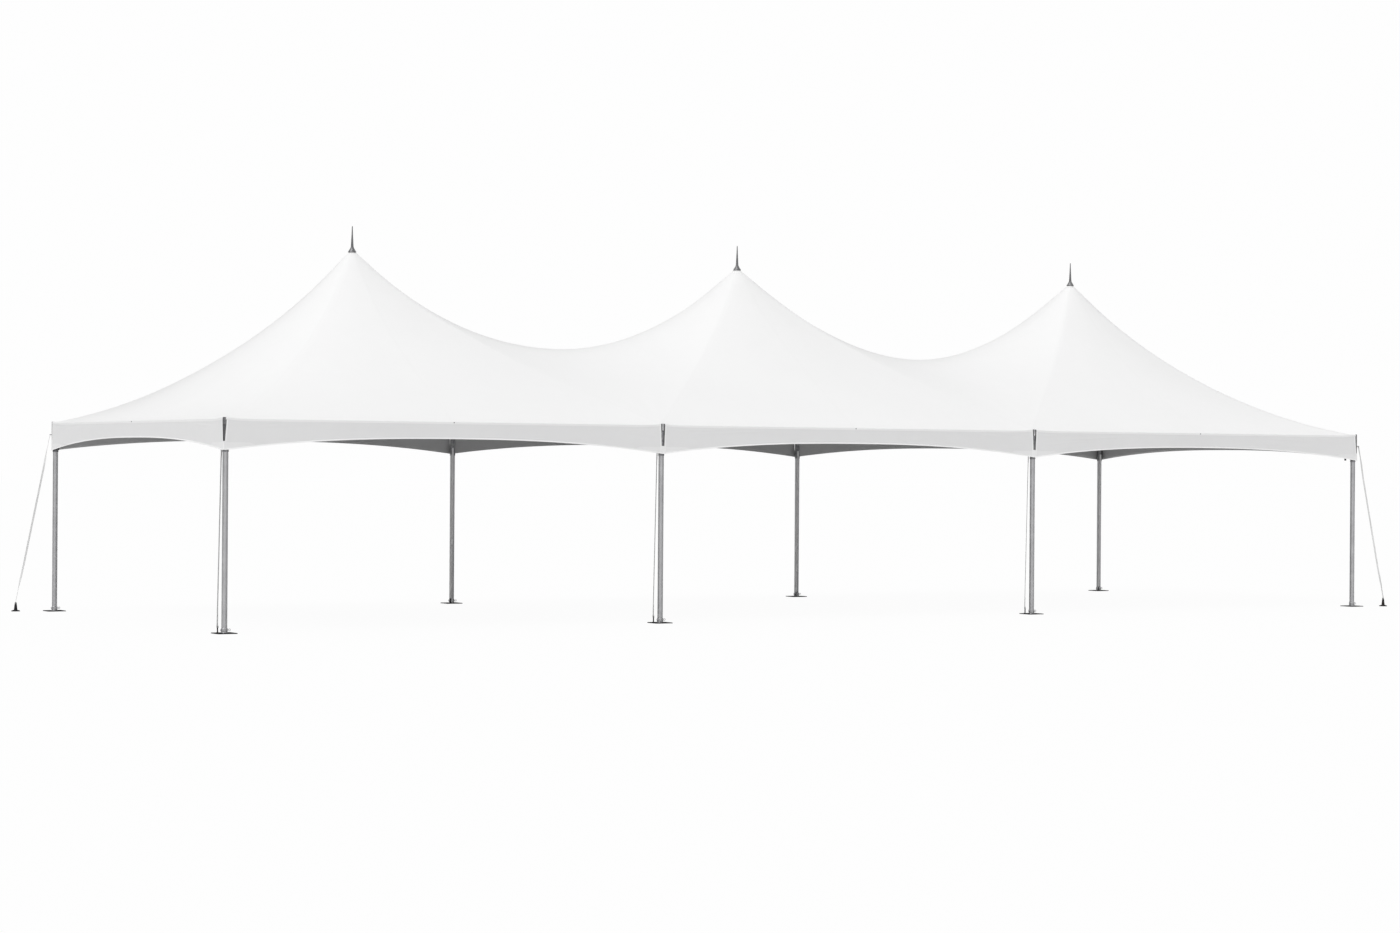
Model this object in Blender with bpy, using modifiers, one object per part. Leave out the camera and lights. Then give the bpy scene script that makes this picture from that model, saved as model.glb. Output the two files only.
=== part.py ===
"""High peak frame tent of three square bays, built piece by piece.

The long side of the tent lies along X, the short side along Y, and Z is up.
The origin is on the ground under the middle of the tent. Lengths are metres.
"""

import math

import bmesh
import bpy
import numpy as np
from mathutils import Vector

# Plan and heights
BAY = 6.096
BAYS = 3
EAVE_HEIGHT = 2.60
PEAK_HEIGHT = 4.90
FINIAL_HEIGHT = 0.355
GAP = 0.0003

# Legs and base plates
LEG_RADIUS = 0.035
SLEEVE_RADIUS = 0.0385
SLEEVE_BOTTOM = 2.19
COLLAR_RADIUS = 0.041
COLLAR_HEIGHT = 0.055
COLLAR_BEVEL = 0.004
PLATE_SIDE = 0.254
PLATE_THICKNESS = 0.0095
PLATE_CORNER = 0.02

# Eave frame
TUBE_RADIUS = 0.0254
TUBE_DROP = 0.0004
STUB_REACH = 0.17
LUG_RADIUS = 0.008
LUG_REACH = 0.075
CABLE_LUG_HEIGHT = 2.52
STRAP_LUG_HEIGHT = 2.30
STRAP_LUG_RADIUS = 0.0048
CORNER_LUG_HEIGHT = 2.43
CORNER_LUG_REACH = 0.066

# King poles, their cables and the finials
MAST_RADIUS = 0.0254
HUB_RADIUS = 0.05
HUB_BOTTOM = 2.445
HUB_TOP = 2.50
HUB_BEVEL = 0.012
CABLE_RADIUS = 0.005
CABLE_HUB_HEIGHT = 2.47
CABLE_SEAT = 0.6 * HUB_RADIUS
PEAK_RING = 0.045
PEAK_SLOPE = 1.3
# Radius and height above the foot, from the shoulder of the spike down to the skirt
FINIAL_PROFILE = [(0.0072, 0.30), (0.0116, 0.20), (0.0168, 0.10), (0.0195, 0.072), (0.030, 0.050), (0.057, 0.006)]
FINIAL_TIP = 0.006

# Fabric
ROOF_THICKNESS = 0.004
ROOF_CELLS = 20
PULL_CORE = 0.25
LENGTHWISE_PULL = 1.37
HIP_PULL = 11.35
RIM = 0.046
VALANCE_THICKNESS = 0.004
VALANCE_LEG_DEPTH = 0.385
VALANCE_MID_DEPTH = 0.223
ARCH_POWER = 2.4
ARCH_POINTS = 14
SLOT_DEPTH = 0.283
SLOT_TOP = 0.031
SLOT_FOOT = 0.020

# Guy straps and their anchors
STRAP_WIDTH = 0.025
STRAP_THICKNESS = 0.003
STRAP_END = 0.02
STRAP_TUCK = 0.02
CORNER_STRAP_SEAT = 0.0043
STRAP_TOP = (-0.026, 0.063)
STAKE_SPOT = (-0.056, 0.076)
STAKE_RADIUS = 0.008
STAKE_HEIGHT = 0.088
ANCHOR_REACH = (0.50, 0.15)
ANCHOR_HEIGHT = 0.125
# Radius and height of the anchor's post and foot, from its top down
ANCHOR_PROFILE = [(0.012, 0.125), (0.016, 0.094), (0.024, 0.022), (0.060, 0.010), (0.060, 0)]

# How finely round pieces are faceted
SHARP_ANGLE = 35
ROUND_SIDES = 20
TUBE_SIDES = 16
BAR_SIDES = 10
CABLE_SIDES = 8

HALF_LENGTH = BAYS * BAY / 2
HALF_WIDTH = BAY / 2
LEG_X = [index * BAY - HALF_LENGTH for index in range(BAYS + 1)]
BAY_X = [(index + 0.5) * BAY - HALF_LENGTH for index in range(BAYS)]
SIDES = {"front": -1, "back": 1}


def clear_scene():
    for item in list(bpy.data.objects):
        bpy.data.objects.remove(item, do_unlink=True)
    for collection in list(bpy.data.collections):
        bpy.data.collections.remove(collection)


def make_material(name, colour, roughness, metallic):
    material = bpy.data.materials.new(name)
    material.use_nodes = True
    shader = material.node_tree.nodes["Principled BSDF"]
    shader.inputs["Base Color"].default_value = (*colour, 1.0)
    shader.inputs["Roughness"].default_value = roughness
    shader.inputs["Metallic"].default_value = metallic
    return material


def add_object(name, mesh, material, location=(0, 0, 0)):
    item = bpy.data.objects.new(name, mesh)
    item.location = location
    mesh.materials.clear()
    mesh.materials.append(material)
    tent.objects.link(item)
    return item


def shade(mesh):
    mesh.shade_smooth()
    mesh.set_sharp_from_angle(angle=math.radians(SHARP_ANGLE))


def turned(name, profile, material, location=(0, 0, 0), steps=ROUND_SIDES, flat_on_diagonal=False):
    """Turn a profile, given from its top to its foot, about the Z axis."""
    mesh = bpy.data.meshes.new(name)
    points = [(radius, 0, height) for radius, height in profile]
    links = [(index, index + 1) for index in range(len(points) - 1)]
    mesh.from_pydata(points, links, [])
    item = add_object(name, mesh, material, location)
    screw = item.modifiers.new("Turn", "SCREW")
    screw.steps = steps
    screw.render_steps = steps
    screw.use_merge_vertices = True
    screw.merge_threshold = 0.00005
    screw.use_smooth_shade = False
    if flat_on_diagonal:
        item.rotation_euler.z = math.pi / steps
    return item


def rod(name, start, end, radius, material, sides=BAR_SIDES):
    """A round bar between two points."""
    start = Vector(start)
    run = Vector(end) - start
    bm = bmesh.new()
    bmesh.ops.create_cone(
        bm, cap_ends=True, segments=sides, radius1=radius, radius2=radius, depth=run.length
    )
    turn = run.to_track_quat("Z", "Y").to_matrix().to_4x4()
    bmesh.ops.transform(bm, matrix=turn, verts=bm.verts)
    bmesh.ops.translate(bm, vec=start + run / 2, verts=bm.verts)
    mesh = bpy.data.meshes.new(name)
    bm.to_mesh(mesh)
    bm.free()
    shade(mesh)
    return add_object(name, mesh, material)


def block(name, size, centre, material, corner=0.0):
    """A box, with its upright edges rounded where a corner radius is given."""
    bm = bmesh.new()
    bmesh.ops.create_cube(bm, size=1.0)
    bmesh.ops.scale(bm, vec=size, verts=bm.verts)
    if corner:
        upright = []
        for edge in bm.edges:
            low, high = edge.verts
            if abs(high.co.z - low.co.z) > size[2] / 2:
                upright.append(edge)
        bmesh.ops.bevel(bm, geom=upright, offset=corner, segments=3, profile=0.5, affect="EDGES")
    bmesh.ops.translate(bm, vec=centre, verts=bm.verts)
    mesh = bpy.data.meshes.new(name)
    bm.to_mesh(mesh)
    bm.free()
    return add_object(name, mesh, material)


def strap(name, start, end, across, material):
    """A flat webbing strap between two points, its width along the vector across."""
    start = Vector(start)
    run = Vector(end) - start
    along = run.normalized()
    side = (Vector(across) - along * Vector(across).dot(along)).normalized() * STRAP_WIDTH / 2
    face = along.cross(side).normalized() * STRAP_THICKNESS / 2
    bm = bmesh.new()
    bmesh.ops.create_cube(bm, size=2.0)
    for vert in bm.verts:
        place = vert.co.copy()
        vert.co = start + run * (place.z + 1) / 2 + side * place.x + face * place.y
    bmesh.ops.recalc_face_normals(bm, faces=bm.faces)
    mesh = bpy.data.meshes.new(name)
    bm.to_mesh(mesh)
    bm.free()
    return add_object(name, mesh, material)


def join(name, pieces):
    """Unite overlapping pieces into one solid that keeps the first one's material."""
    first = pieces[0]
    for index, other in enumerate(pieces[1:]):
        union = first.modifiers.new("Join %d" % index, "BOOLEAN")
        union.operation = "UNION"
        union.object = other
    bpy.context.view_layer.update()
    graph = bpy.context.evaluated_depsgraph_get()
    mesh = bpy.data.meshes.new_from_object(first.evaluated_get(graph))
    mesh.transform(first.matrix_world)
    material = first.data.materials[0]
    for piece in pieces:
        bpy.data.objects.remove(piece, do_unlink=True)
    mesh.name = name
    shade(mesh)
    return add_object(name, mesh, material)


def roof_heights():
    """Heights of the stretched membrane on a square grid over the leg lines.

    The fabric is taut. Its pull is even, but gathered near each peak, and it is
    stronger along the row than across it. A webbing sewn along each hip pulls
    from the peak to the legs. The eaves and the three peaks are held, and every
    other point lies where the pulls on it balance.
    """
    step = BAY / ROOF_CELLS
    columns = BAYS * ROOF_CELLS + 1
    rows = ROOF_CELLS + 1
    xs = [column * step - HALF_LENGTH for column in range(columns)]
    ys = [row * step - HALF_WIDTH for row in range(rows)]
    peaks = {(index * ROOF_CELLS + ROOF_CELLS // 2, ROOF_CELLS // 2) for index in range(BAYS)}
    apex = PEAK_HEIGHT + PEAK_RING * PEAK_SLOPE
    balance = np.zeros((columns * rows, columns * rows))
    held = np.zeros(columns * rows)

    def pull(x, y):
        near = min(math.hypot(x - centre, y) for centre in BAY_X)
        return math.hypot(1, near / PULL_CORE) / near

    def on_hip(column, row):
        across = column % ROOF_CELLS
        return across in (row, ROOF_CELLS - row)

    for column in range(columns):
        for row in range(rows):
            here = column * rows + row
            at_eave = column in (0, columns - 1) or row in (0, rows - 1)
            if at_eave or (column, row) in peaks:
                balance[here, here] = 1.0
                held[here] = EAVE_HEIGHT if at_eave else apex
                continue
            for across, along in ((1, 0), (-1, 0), (0, 1), (0, -1)):
                force = pull(xs[column] + across * step / 2, ys[row] + along * step / 2)
                if across:
                    force *= LENGTHWISE_PULL
                balance[here, here + across * rows + along] += force
                balance[here, here] -= force
            if on_hip(column, row):
                falling = column % ROOF_CELLS == row
                for across in (1, -1):
                    along = across if falling else -across
                    force = HIP_PULL / (step * math.sqrt(2))
                    balance[here, here + across * rows + along] += force
                    balance[here, here] -= force
    heights = np.linalg.solve(balance, held).reshape(columns, rows)
    return xs, ys, heights, peaks


def make_roof(material):
    """One membrane over all three bays, with a round hole under each finial."""
    xs, ys, heights, peaks = roof_heights()
    columns = len(xs)
    rows = len(ys)
    bm = bmesh.new()
    grid = {}
    for column, x in enumerate(xs):
        for row, y in enumerate(ys):
            if (column, row) not in peaks:
                grid[column, row] = bm.verts.new((x, y, float(heights[column, row])))
    for column in range(columns - 1):
        for row in range(rows - 1):
            corners = [(column, row), (column + 1, row), (column + 1, row + 1), (column, row + 1)]
            if all(corner in grid for corner in corners):
                bm.faces.new([grid[corner] for corner in corners])
    around = [(1, 0), (1, 1), (0, 1), (-1, 1), (-1, 0), (-1, -1), (0, -1), (1, -1)]
    for peak_column, peak_row in sorted(peaks):
        ring = []
        for across, along in around:
            turn = math.atan2(along, across)
            spot = (
                xs[peak_column] + PEAK_RING * math.cos(turn),
                ys[peak_row] + PEAK_RING * math.sin(turn),
                PEAK_HEIGHT,
            )
            ring.append(bm.verts.new(spot))
        for index, (across, along) in enumerate(around):
            beyond = (index + 1) % len(around)
            following = around[beyond]
            outer = grid[peak_column + across, peak_row + along]
            outer_next = grid[peak_column + following[0], peak_row + following[1]]
            bm.faces.new([ring[index], outer, outer_next, ring[beyond]])
    add_rim(bm, grid, columns, rows)
    bmesh.ops.recalc_face_normals(bm, faces=bm.faces)
    if sum(face.normal.z for face in bm.faces) < 0:
        bmesh.ops.reverse_faces(bm, faces=bm.faces)
    mesh = bpy.data.meshes.new("roof_membrane")
    bm.to_mesh(mesh)
    bm.free()
    roof = add_object("roof_membrane", mesh, material)
    wall = roof.modifiers.new("Fabric", "SOLIDIFY")
    wall.thickness = ROOF_THICKNESS
    wall.offset = -1.0
    wall.use_even_offset = True
    return roof


def add_rim(bm, grid, columns, rows):
    """A level strip round the eave that carries the membrane out over the valance."""
    outline = [(column, 0) for column in range(columns - 1)]
    outline += [(columns - 1, row) for row in range(rows - 1)]
    outline += [(column, rows - 1) for column in range(columns - 1, 0, -1)]
    outline += [(0, row) for row in range(rows - 1, 0, -1)]
    outer = {}
    for spot in outline:
        x, y, z = grid[spot].co
        across = -1 if spot[0] == 0 else (1 if spot[0] == columns - 1 else 0)
        along = -1 if spot[1] == 0 else (1 if spot[1] == rows - 1 else 0)
        outer[spot] = bm.verts.new((x + across * RIM, y + along * RIM, z))
    for index, spot in enumerate(outline):
        following = outline[(index + 1) % len(outline)]
        bm.faces.new([grid[spot], outer[spot], outer[following], grid[following]])


def arch_depth(place, span):
    """Depth of a valance below the eave, at a place along a bay of the given span."""
    from_middle = abs(2 * place / span - 1)
    return VALANCE_MID_DEPTH + (VALANCE_LEG_DEPTH - VALANCE_MID_DEPTH) * from_middle ** ARCH_POWER


def valance_outline(legs, end):
    """Outline of a valance along its side: its slots, its ends and its arched foot.

    Places along the side are measured from the middle. The valance runs from
    -end to end, and the V slots at the legs are open at the top.
    """
    top = EAVE_HEIGHT - ROOF_THICKNESS - GAP
    foot = EAVE_HEIGHT - SLOT_DEPTH
    points = [(-end, foot), (-end + SLOT_FOOT / 2, foot), (-end + SLOT_TOP, top)]
    for leg in legs[1:-1]:
        points += [(leg - SLOT_TOP, top), (leg - SLOT_FOOT, foot)]
        points += [(leg + SLOT_FOOT, foot), (leg + SLOT_TOP, top)]
    points += [(end - SLOT_TOP, top), (end - SLOT_FOOT / 2, foot), (end, foot)]
    points.append((end, EAVE_HEIGHT - VALANCE_LEG_DEPTH))
    for right, left in zip(legs[:0:-1], legs[-2::-1]):
        span = right - left
        for index in range(ARCH_POINTS):
            place = right - span * index / ARCH_POINTS
            points.append((place, EAVE_HEIGHT - arch_depth(place - left, span)))
    points.append((legs[0], EAVE_HEIGHT - VALANCE_LEG_DEPTH))
    points.append((-end, EAVE_HEIGHT - VALANCE_LEG_DEPTH))
    return points


def make_valance(name, legs, end, line, along_x, material):
    """A hanging strip of fabric whose middle plane stands at the given line."""
    curve = bpy.data.curves.new(name, "CURVE")
    curve.dimensions = "2D"
    curve.fill_mode = "BOTH"
    curve.extrude = VALANCE_THICKNESS / 2
    outline = valance_outline(legs, end)
    spline = curve.splines.new("POLY")
    spline.points.add(len(outline) - 1)
    for point, (place, height) in zip(spline.points, outline):
        point.co = (place, height, 0, 1)
    spline.use_cyclic_u = True
    flat = bpy.data.objects.new(name + "_outline", curve)
    flat.rotation_euler = (math.radians(90), 0, 0 if along_x else math.radians(90))
    flat.location = (0, line, 0) if along_x else (line, 0, 0)
    tent.objects.link(flat)
    bpy.context.view_layer.update()
    graph = bpy.context.evaluated_depsgraph_get()
    mesh = bpy.data.meshes.new_from_object(flat.evaluated_get(graph))
    place = flat.matrix_world.copy()
    bpy.data.objects.remove(flat, do_unlink=True)
    bm = bmesh.new()
    bm.from_mesh(mesh)
    bmesh.ops.remove_doubles(bm, verts=bm.verts, dist=0.0001)
    bm.to_mesh(mesh)
    bm.free()
    mesh.name = name
    valance = add_object(name, mesh, material)
    valance.matrix_world = place
    return valance


def make_legs():
    foot = PLATE_THICKNESS + GAP
    profile = [
        (0, SLEEVE_BOTTOM),
        (LEG_RADIUS, SLEEVE_BOTTOM),
        (LEG_RADIUS, foot + COLLAR_HEIGHT + COLLAR_BEVEL),
        (COLLAR_RADIUS, foot + COLLAR_HEIGHT),
        (COLLAR_RADIUS, foot),
        (0, foot),
    ]
    for side, way in SIDES.items():
        for index, x in enumerate(LEG_X):
            turned("leg_%s_%d" % (side, index + 1), profile, aluminium, (x, way * HALF_WIDTH, 0))
            block(
                "base_plate_%s_%d" % (side, index + 1),
                (PLATE_SIDE, PLATE_SIDE, PLATE_THICKNESS),
                (x, way * HALF_WIDTH, PLATE_THICKNESS / 2),
                plate_steel,
                PLATE_CORNER,
            )


def tube_height():
    """Height of the middle of the eave tubes, just under the membrane."""
    return EAVE_HEIGHT - ROOF_THICKNESS - GAP - TUBE_RADIUS - TUBE_DROP


def make_fitting(side, way, index):
    """The cast node on a leg: sleeve, tube stubs, cable eyes and a strap lug."""
    x = LEG_X[index]
    y = way * HALF_WIDTH
    name = "eave_fitting_%s_%d" % (side, index + 1)
    height = tube_height()
    top = EAVE_HEIGHT - ROOF_THICKNESS - GAP
    foot = (x, y, SLEEVE_BOTTOM + GAP)
    pieces = [rod(name + "_sleeve", foot, (x, y, top), SLEEVE_RADIUS, fitting_steel, ROUND_SIDES)]
    ways = []
    if index > 0:
        ways.append((-1, 0))
    if index < BAYS:
        ways.append((1, 0))
    if index in (0, BAYS):
        ways.append((0, -way))
    for across, along in ways:
        tip = (x + across * STUB_REACH, y + along * STUB_REACH, height)
        pieces.append(rod(name + "_stub", (x, y, height), tip, TUBE_RADIUS, fitting_steel, TUBE_SIDES))
    for bay, centre in enumerate(BAY_X):
        if bay not in (index - 1, index):
            continue
        run = Vector((centre - x, -y, 0)).normalized() * LUG_REACH
        eye = (x + run.x, y + run.y, CABLE_LUG_HEIGHT)
        pieces.append(rod(name + "_eye", (x, y, CABLE_LUG_HEIGHT), eye, LUG_RADIUS, fitting_steel))
    lean = leaning(side, index)
    if lean:
        tip = corner_lug_tip(x, y, lean)
        pieces.append(rod(name + "_lug", (x, y, CORNER_LUG_HEIGHT), tip, STRAP_LUG_RADIUS, fitting_steel))
    else:
        reach = Vector((STRAP_TOP[0], -way * STRAP_TOP[1], 0))
        reach -= reach.normalized() * (STRAP_THICKNESS / 2 + GAP)
        tip = Vector((x, y, STRAP_LUG_HEIGHT)) + reach
        pieces.append(rod(name + "_lug", (x, y, STRAP_LUG_HEIGHT), tip, STRAP_LUG_RADIUS, fitting_steel))
    return join(name, pieces)


def leaning(side, index):
    """The outward way, across and along, of a guy that leans away from its corner."""
    if side == "back" and index == 0:
        return (-1, 1)
    if side == "front" and index == BAYS:
        return (1, -1)
    return None


def corner_lug_tip(x, y, lean):
    return Vector((x + lean[0] * CORNER_LUG_REACH, y + lean[1] * CORNER_LUG_REACH, CORNER_LUG_HEIGHT))


def make_guy(side, way, index):
    """A webbing strap from the fitting down to its steel anchor, as one solid."""
    x = LEG_X[index]
    y = way * HALF_WIDTH
    name = "guy_%s_%d" % (side, index + 1)
    lean = leaning(side, index)
    if lean:
        outward = Vector((lean[0] * ANCHOR_REACH[0], lean[1] * ANCHOR_REACH[1], 0))
        head = Vector((x, y, 0)) + outward
        hold = corner_lug_tip(x, y, lean) + outward.normalized() * CORNER_STRAP_SEAT
        foot = head + Vector((0, 0, ANCHOR_HEIGHT - STRAP_TUCK))
        start = hold + (hold - foot).normalized() * STRAP_END
        webbing = strap(name, start, foot, (-outward.y, outward.x, 0), webbing_white)
        profile = [(0, ANCHOR_HEIGHT)] + ANCHOR_PROFILE + [(0, 0)]
        anchor = turned(name + "_anchor", profile, plate_steel, head, TUBE_SIDES)
        return join(name, [webbing, anchor])
    start = (x + STRAP_TOP[0], y - way * STRAP_TOP[1], STRAP_LUG_HEIGHT + STRAP_END)
    spot = (x + STAKE_SPOT[0], y - way * STAKE_SPOT[1])
    across = (STRAP_TOP[1], way * STRAP_TOP[0], 0)
    webbing = strap(name, start, (*spot, STAKE_HEIGHT - STRAP_TUCK), across, webbing_white)
    foot = (*spot, PLATE_THICKNESS + GAP)
    stake = rod(name + "_stake", foot, (*spot, STAKE_HEIGHT), STAKE_RADIUS, plate_steel)
    return join(name, [webbing, stake])


def make_eave_tubes():
    height = tube_height()
    for side, way in SIDES.items():
        y = way * HALF_WIDTH
        for bay in range(BAYS):
            start = (LEG_X[bay] + STUB_REACH + GAP, y, height)
            end = (LEG_X[bay + 1] - STUB_REACH - GAP, y, height)
            rod("eave_tube_%s_%d" % (side, bay + 1), start, end, TUBE_RADIUS, aluminium, TUBE_SIDES)
    for side, x in (("left", -HALF_LENGTH), ("right", HALF_LENGTH)):
        reach = HALF_WIDTH - STUB_REACH - GAP
        start = (x, -reach, height)
        rod("eave_tube_" + side, start, (x, reach, height), TUBE_RADIUS, aluminium, TUBE_SIDES)


def make_peaks():
    base = PEAK_HEIGHT + GAP
    skirt = FINIAL_PROFILE[-1][0]
    finial = [(0, base + FINIAL_HEIGHT), (FINIAL_TIP, base + FINIAL_HEIGHT - FINIAL_TIP)]
    finial += [(radius, base + height) for radius, height in FINIAL_PROFILE]
    finial += [(skirt, base), (0, base)]
    hub = [
        (0, HUB_TOP),
        (HUB_RADIUS, HUB_TOP),
        (HUB_RADIUS, HUB_BOTTOM + HUB_BEVEL),
        (HUB_RADIUS - HUB_BEVEL, HUB_BOTTOM),
        (0, HUB_BOTTOM),
    ]
    for bay, x in enumerate(BAY_X):
        label = str(bay + 1)
        foot = (x, 0, HUB_TOP + GAP)
        rod("king_pole_" + label, foot, (x, 0, PEAK_HEIGHT), MAST_RADIUS, aluminium, ROUND_SIDES)
        turned("finial_" + label, finial, finial_metal, (x, 0, 0))
        name = "cable_cross_" + label
        pieces = [turned(name + "_hub", hub, fitting_steel, (x, 0, 0), TUBE_SIDES, True)]
        for corner_x in (LEG_X[bay], LEG_X[bay + 1]):
            for way in SIDES.values():
                corner = Vector((corner_x, way * HALF_WIDTH, CABLE_LUG_HEIGHT))
                run = Vector((x, 0, CABLE_LUG_HEIGHT)) - corner
                start = corner + run.normalized() * (LUG_REACH + GAP * 2)
                seat = Vector((x, 0, CABLE_HUB_HEIGHT)) - run.normalized() * CABLE_SEAT
                pieces.append(rod(name + "_cable", start, seat, CABLE_RADIUS, fitting_steel, CABLE_SIDES))
        join(name, pieces)


def make_valances():
    line = RIM - VALANCE_THICKNESS / 2
    inner = RIM - VALANCE_THICKNESS - GAP
    for side, way in SIDES.items():
        make_valance(
            "valance_" + side, LEG_X, HALF_LENGTH + RIM, way * (HALF_WIDTH + line), True, valance_fabric
        )
    for side, way in (("left", -1), ("right", 1)):
        legs = [-HALF_WIDTH, HALF_WIDTH]
        make_valance(
            "valance_" + side, legs, HALF_WIDTH + inner, way * (HALF_LENGTH + line), False, valance_fabric
        )


clear_scene()
tent = bpy.data.collections.new("high_peak_frame_tent")
bpy.context.scene.collection.children.link(tent)

aluminium = make_material("Aluminium tube", (0.62, 0.62, 0.63), 0.38, 0.9)
fitting_steel = make_material("Galvanised fitting", (0.36, 0.36, 0.37), 0.5, 0.8)
plate_steel = make_material("Dark plate steel", (0.07, 0.07, 0.075), 0.55, 0.6)
finial_metal = make_material("Finial metal", (0.38, 0.38, 0.39), 0.45, 0.8)
roof_fabric = make_material("Roof vinyl", (0.90, 0.90, 0.90), 0.45, 0.0)
valance_fabric = make_material("Valance vinyl", (0.80, 0.80, 0.81), 0.45, 0.0)
webbing_white = make_material("White webbing", (0.82, 0.82, 0.82), 0.8, 0.0)

make_legs()
for leg_side, leg_way in SIDES.items():
    for leg_index in range(BAYS + 1):
        make_fitting(leg_side, leg_way, leg_index)
        make_guy(leg_side, leg_way, leg_index)
make_eave_tubes()
make_peaks()
make_roof(roof_fabric)
make_valances()
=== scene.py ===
import math

import bpy
import numpy as np
from mathutils import Matrix, Vector


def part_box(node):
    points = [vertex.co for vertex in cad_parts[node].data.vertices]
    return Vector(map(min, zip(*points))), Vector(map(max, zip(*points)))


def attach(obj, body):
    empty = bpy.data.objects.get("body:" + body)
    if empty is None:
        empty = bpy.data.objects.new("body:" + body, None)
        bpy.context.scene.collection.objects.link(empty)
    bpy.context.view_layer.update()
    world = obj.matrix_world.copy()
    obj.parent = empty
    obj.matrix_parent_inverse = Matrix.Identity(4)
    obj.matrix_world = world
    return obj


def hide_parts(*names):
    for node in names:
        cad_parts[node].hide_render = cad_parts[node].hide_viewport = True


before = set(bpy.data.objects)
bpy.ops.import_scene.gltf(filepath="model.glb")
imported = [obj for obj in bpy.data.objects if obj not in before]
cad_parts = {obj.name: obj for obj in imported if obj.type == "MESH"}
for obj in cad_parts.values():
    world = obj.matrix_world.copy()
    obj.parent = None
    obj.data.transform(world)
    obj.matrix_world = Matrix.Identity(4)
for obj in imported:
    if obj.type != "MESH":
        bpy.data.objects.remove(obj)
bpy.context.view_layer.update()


# Sizes that come from the frame

def middleOf(node):
    low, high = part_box(node)
    return (low + high) / 2


legX = [middleOf("leg_front_%d" % number).x for number in (1, 2, 3, 4)]
peakX = [middleOf("finial_%d" % number).x for number in (1, 2, 3)]
halfLength = legX[-1]
halfWidth = middleOf("leg_back_1").y
bay = legX[1] - legX[0]
sides = {"front": -1, "back": 1}
plateLow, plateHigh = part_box("base_plate_front_1")
plateTop = plateHigh.z
gap = 0.0003  # between pieces that rest on each other
sleeveFoot, sleeveTop = (corner.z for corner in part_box("eave_fitting_front_2"))
tubeHeight = middleOf("eave_tube_front_1").z
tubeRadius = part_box("eave_tube_front_1")[1].z - tubeHeight
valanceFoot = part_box("valance_front")[0].z
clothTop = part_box("valance_front")[1].z + 0.0043  # outer face of the roof cloth at the eave
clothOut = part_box("roof_membrane")[1].y - halfWidth  # from the leg line to the outer face of the cloth
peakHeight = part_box("finial_1")[0].z - gap


def legSpots():
    # for each leg the end of its name, its place, its side and its number in the row
    for name, way in sides.items():
        for index, x in enumerate(legX):
            yield "%s_%d" % (name, index + 1), Vector((x, way * halfWidth, 0)), way, index


# Camera, light and floor

camera = {
    "lens": 77.73,
    "sensor": 36,
    "place": (-23.145, -37.18, 2.055),
    "turn": 0.545,  # from +Y towards +X
    "roll": 0.007,
}


def setCamera():
    data = bpy.data.cameras.new("tentCamera")
    data.lens = camera["lens"]
    data.sensor_width = camera["sensor"]
    data.clip_end = 400
    holder = bpy.data.objects.new("tentCamera", data)
    bpy.context.scene.collection.objects.link(holder)
    level = Matrix.Rotation(-camera["turn"], 4, "Z") @ Matrix.Rotation(math.pi / 2, 4, "X")
    roll = Matrix.Rotation(camera["roll"], 4, "Z")
    holder.matrix_world = Matrix.Translation(camera["place"]) @ level @ roll
    bpy.context.scene.camera = holder


# Node helpers

def addNode(tree, kind, inputs=None, **settings):
    # inputs holds, for each socket by name or number, another socket to link or a plain value
    node = tree.nodes.new(kind)
    for name, value in settings.items():
        setattr(node, name, value)
    for key, source in (inputs or {}).items():
        if isinstance(source, bpy.types.NodeSocket):
            tree.links.new(source, node.inputs[key])
        else:
            node.inputs[key].default_value = source
    return node


def maths(tree, operation, *values):
    return addNode(tree, "ShaderNodeMath", dict(enumerate(values)), operation=operation).outputs[0]


def times(tree, first, second):
    return maths(tree, "MULTIPLY", first, second)


def sine(tree, value, factor):
    return maths(tree, "SINE", times(tree, value, factor))


def blend(tree, first, second, share):
    # share says how much of the second value is in the sum
    return maths(tree, "ADD", times(tree, second, share), times(tree, first, 1 - share))


def mapRange(tree, value, low, high, newLow, newHigh, kind="LINEAR"):
    inputs = {0: value, 1: low, 2: high, 3: newLow, 4: newHigh}
    return addNode(tree, "ShaderNodeMapRange", inputs, interpolation_type=kind).outputs[0]


def noise(tree, vector, scale, detail=3.0, roughness=0.5):
    inputs = {"Vector": vector, "Scale": scale, "Detail": detail, "Roughness": roughness}
    return addNode(tree, "ShaderNodeTexNoise", inputs).outputs["Fac"]


def newGroup(name, label, value, outputs):
    # a node group that is given a vector and one more input
    group = bpy.data.node_groups.new(name, "ShaderNodeTree")
    group.interface.new_socket("Vector", in_out="INPUT", socket_type="NodeSocketVector")
    kind = "NodeSocketVector" if isinstance(value, tuple) else "NodeSocketFloat"
    group.interface.new_socket(label, in_out="INPUT", socket_type=kind).default_value = value
    for output in outputs:
        group.interface.new_socket(output, in_out="OUTPUT", socket_type="NodeSocketFloat")
    given = group.nodes.new("NodeGroupInput").outputs
    return group, given["Vector"], given[label], group.nodes.new("NodeGroupOutput").inputs


def useGroup(tree, group, place, value):
    return addNode(tree, "ShaderNodeGroup", {0: place, 1: value}, node_tree=group).outputs


def splitUp(tree, vector):
    return addNode(tree, "ShaderNodeSeparateXYZ", {0: vector}).outputs


def tint(tree, shade, dark, light):
    # a colour between two others, by a shade from 0 to 1
    inputs = {0: shade, 6: (*dark, 1), 7: (*light, 1)}
    return addNode(tree, "ShaderNodeMix", inputs, data_type="RGBA").outputs[2]


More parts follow.
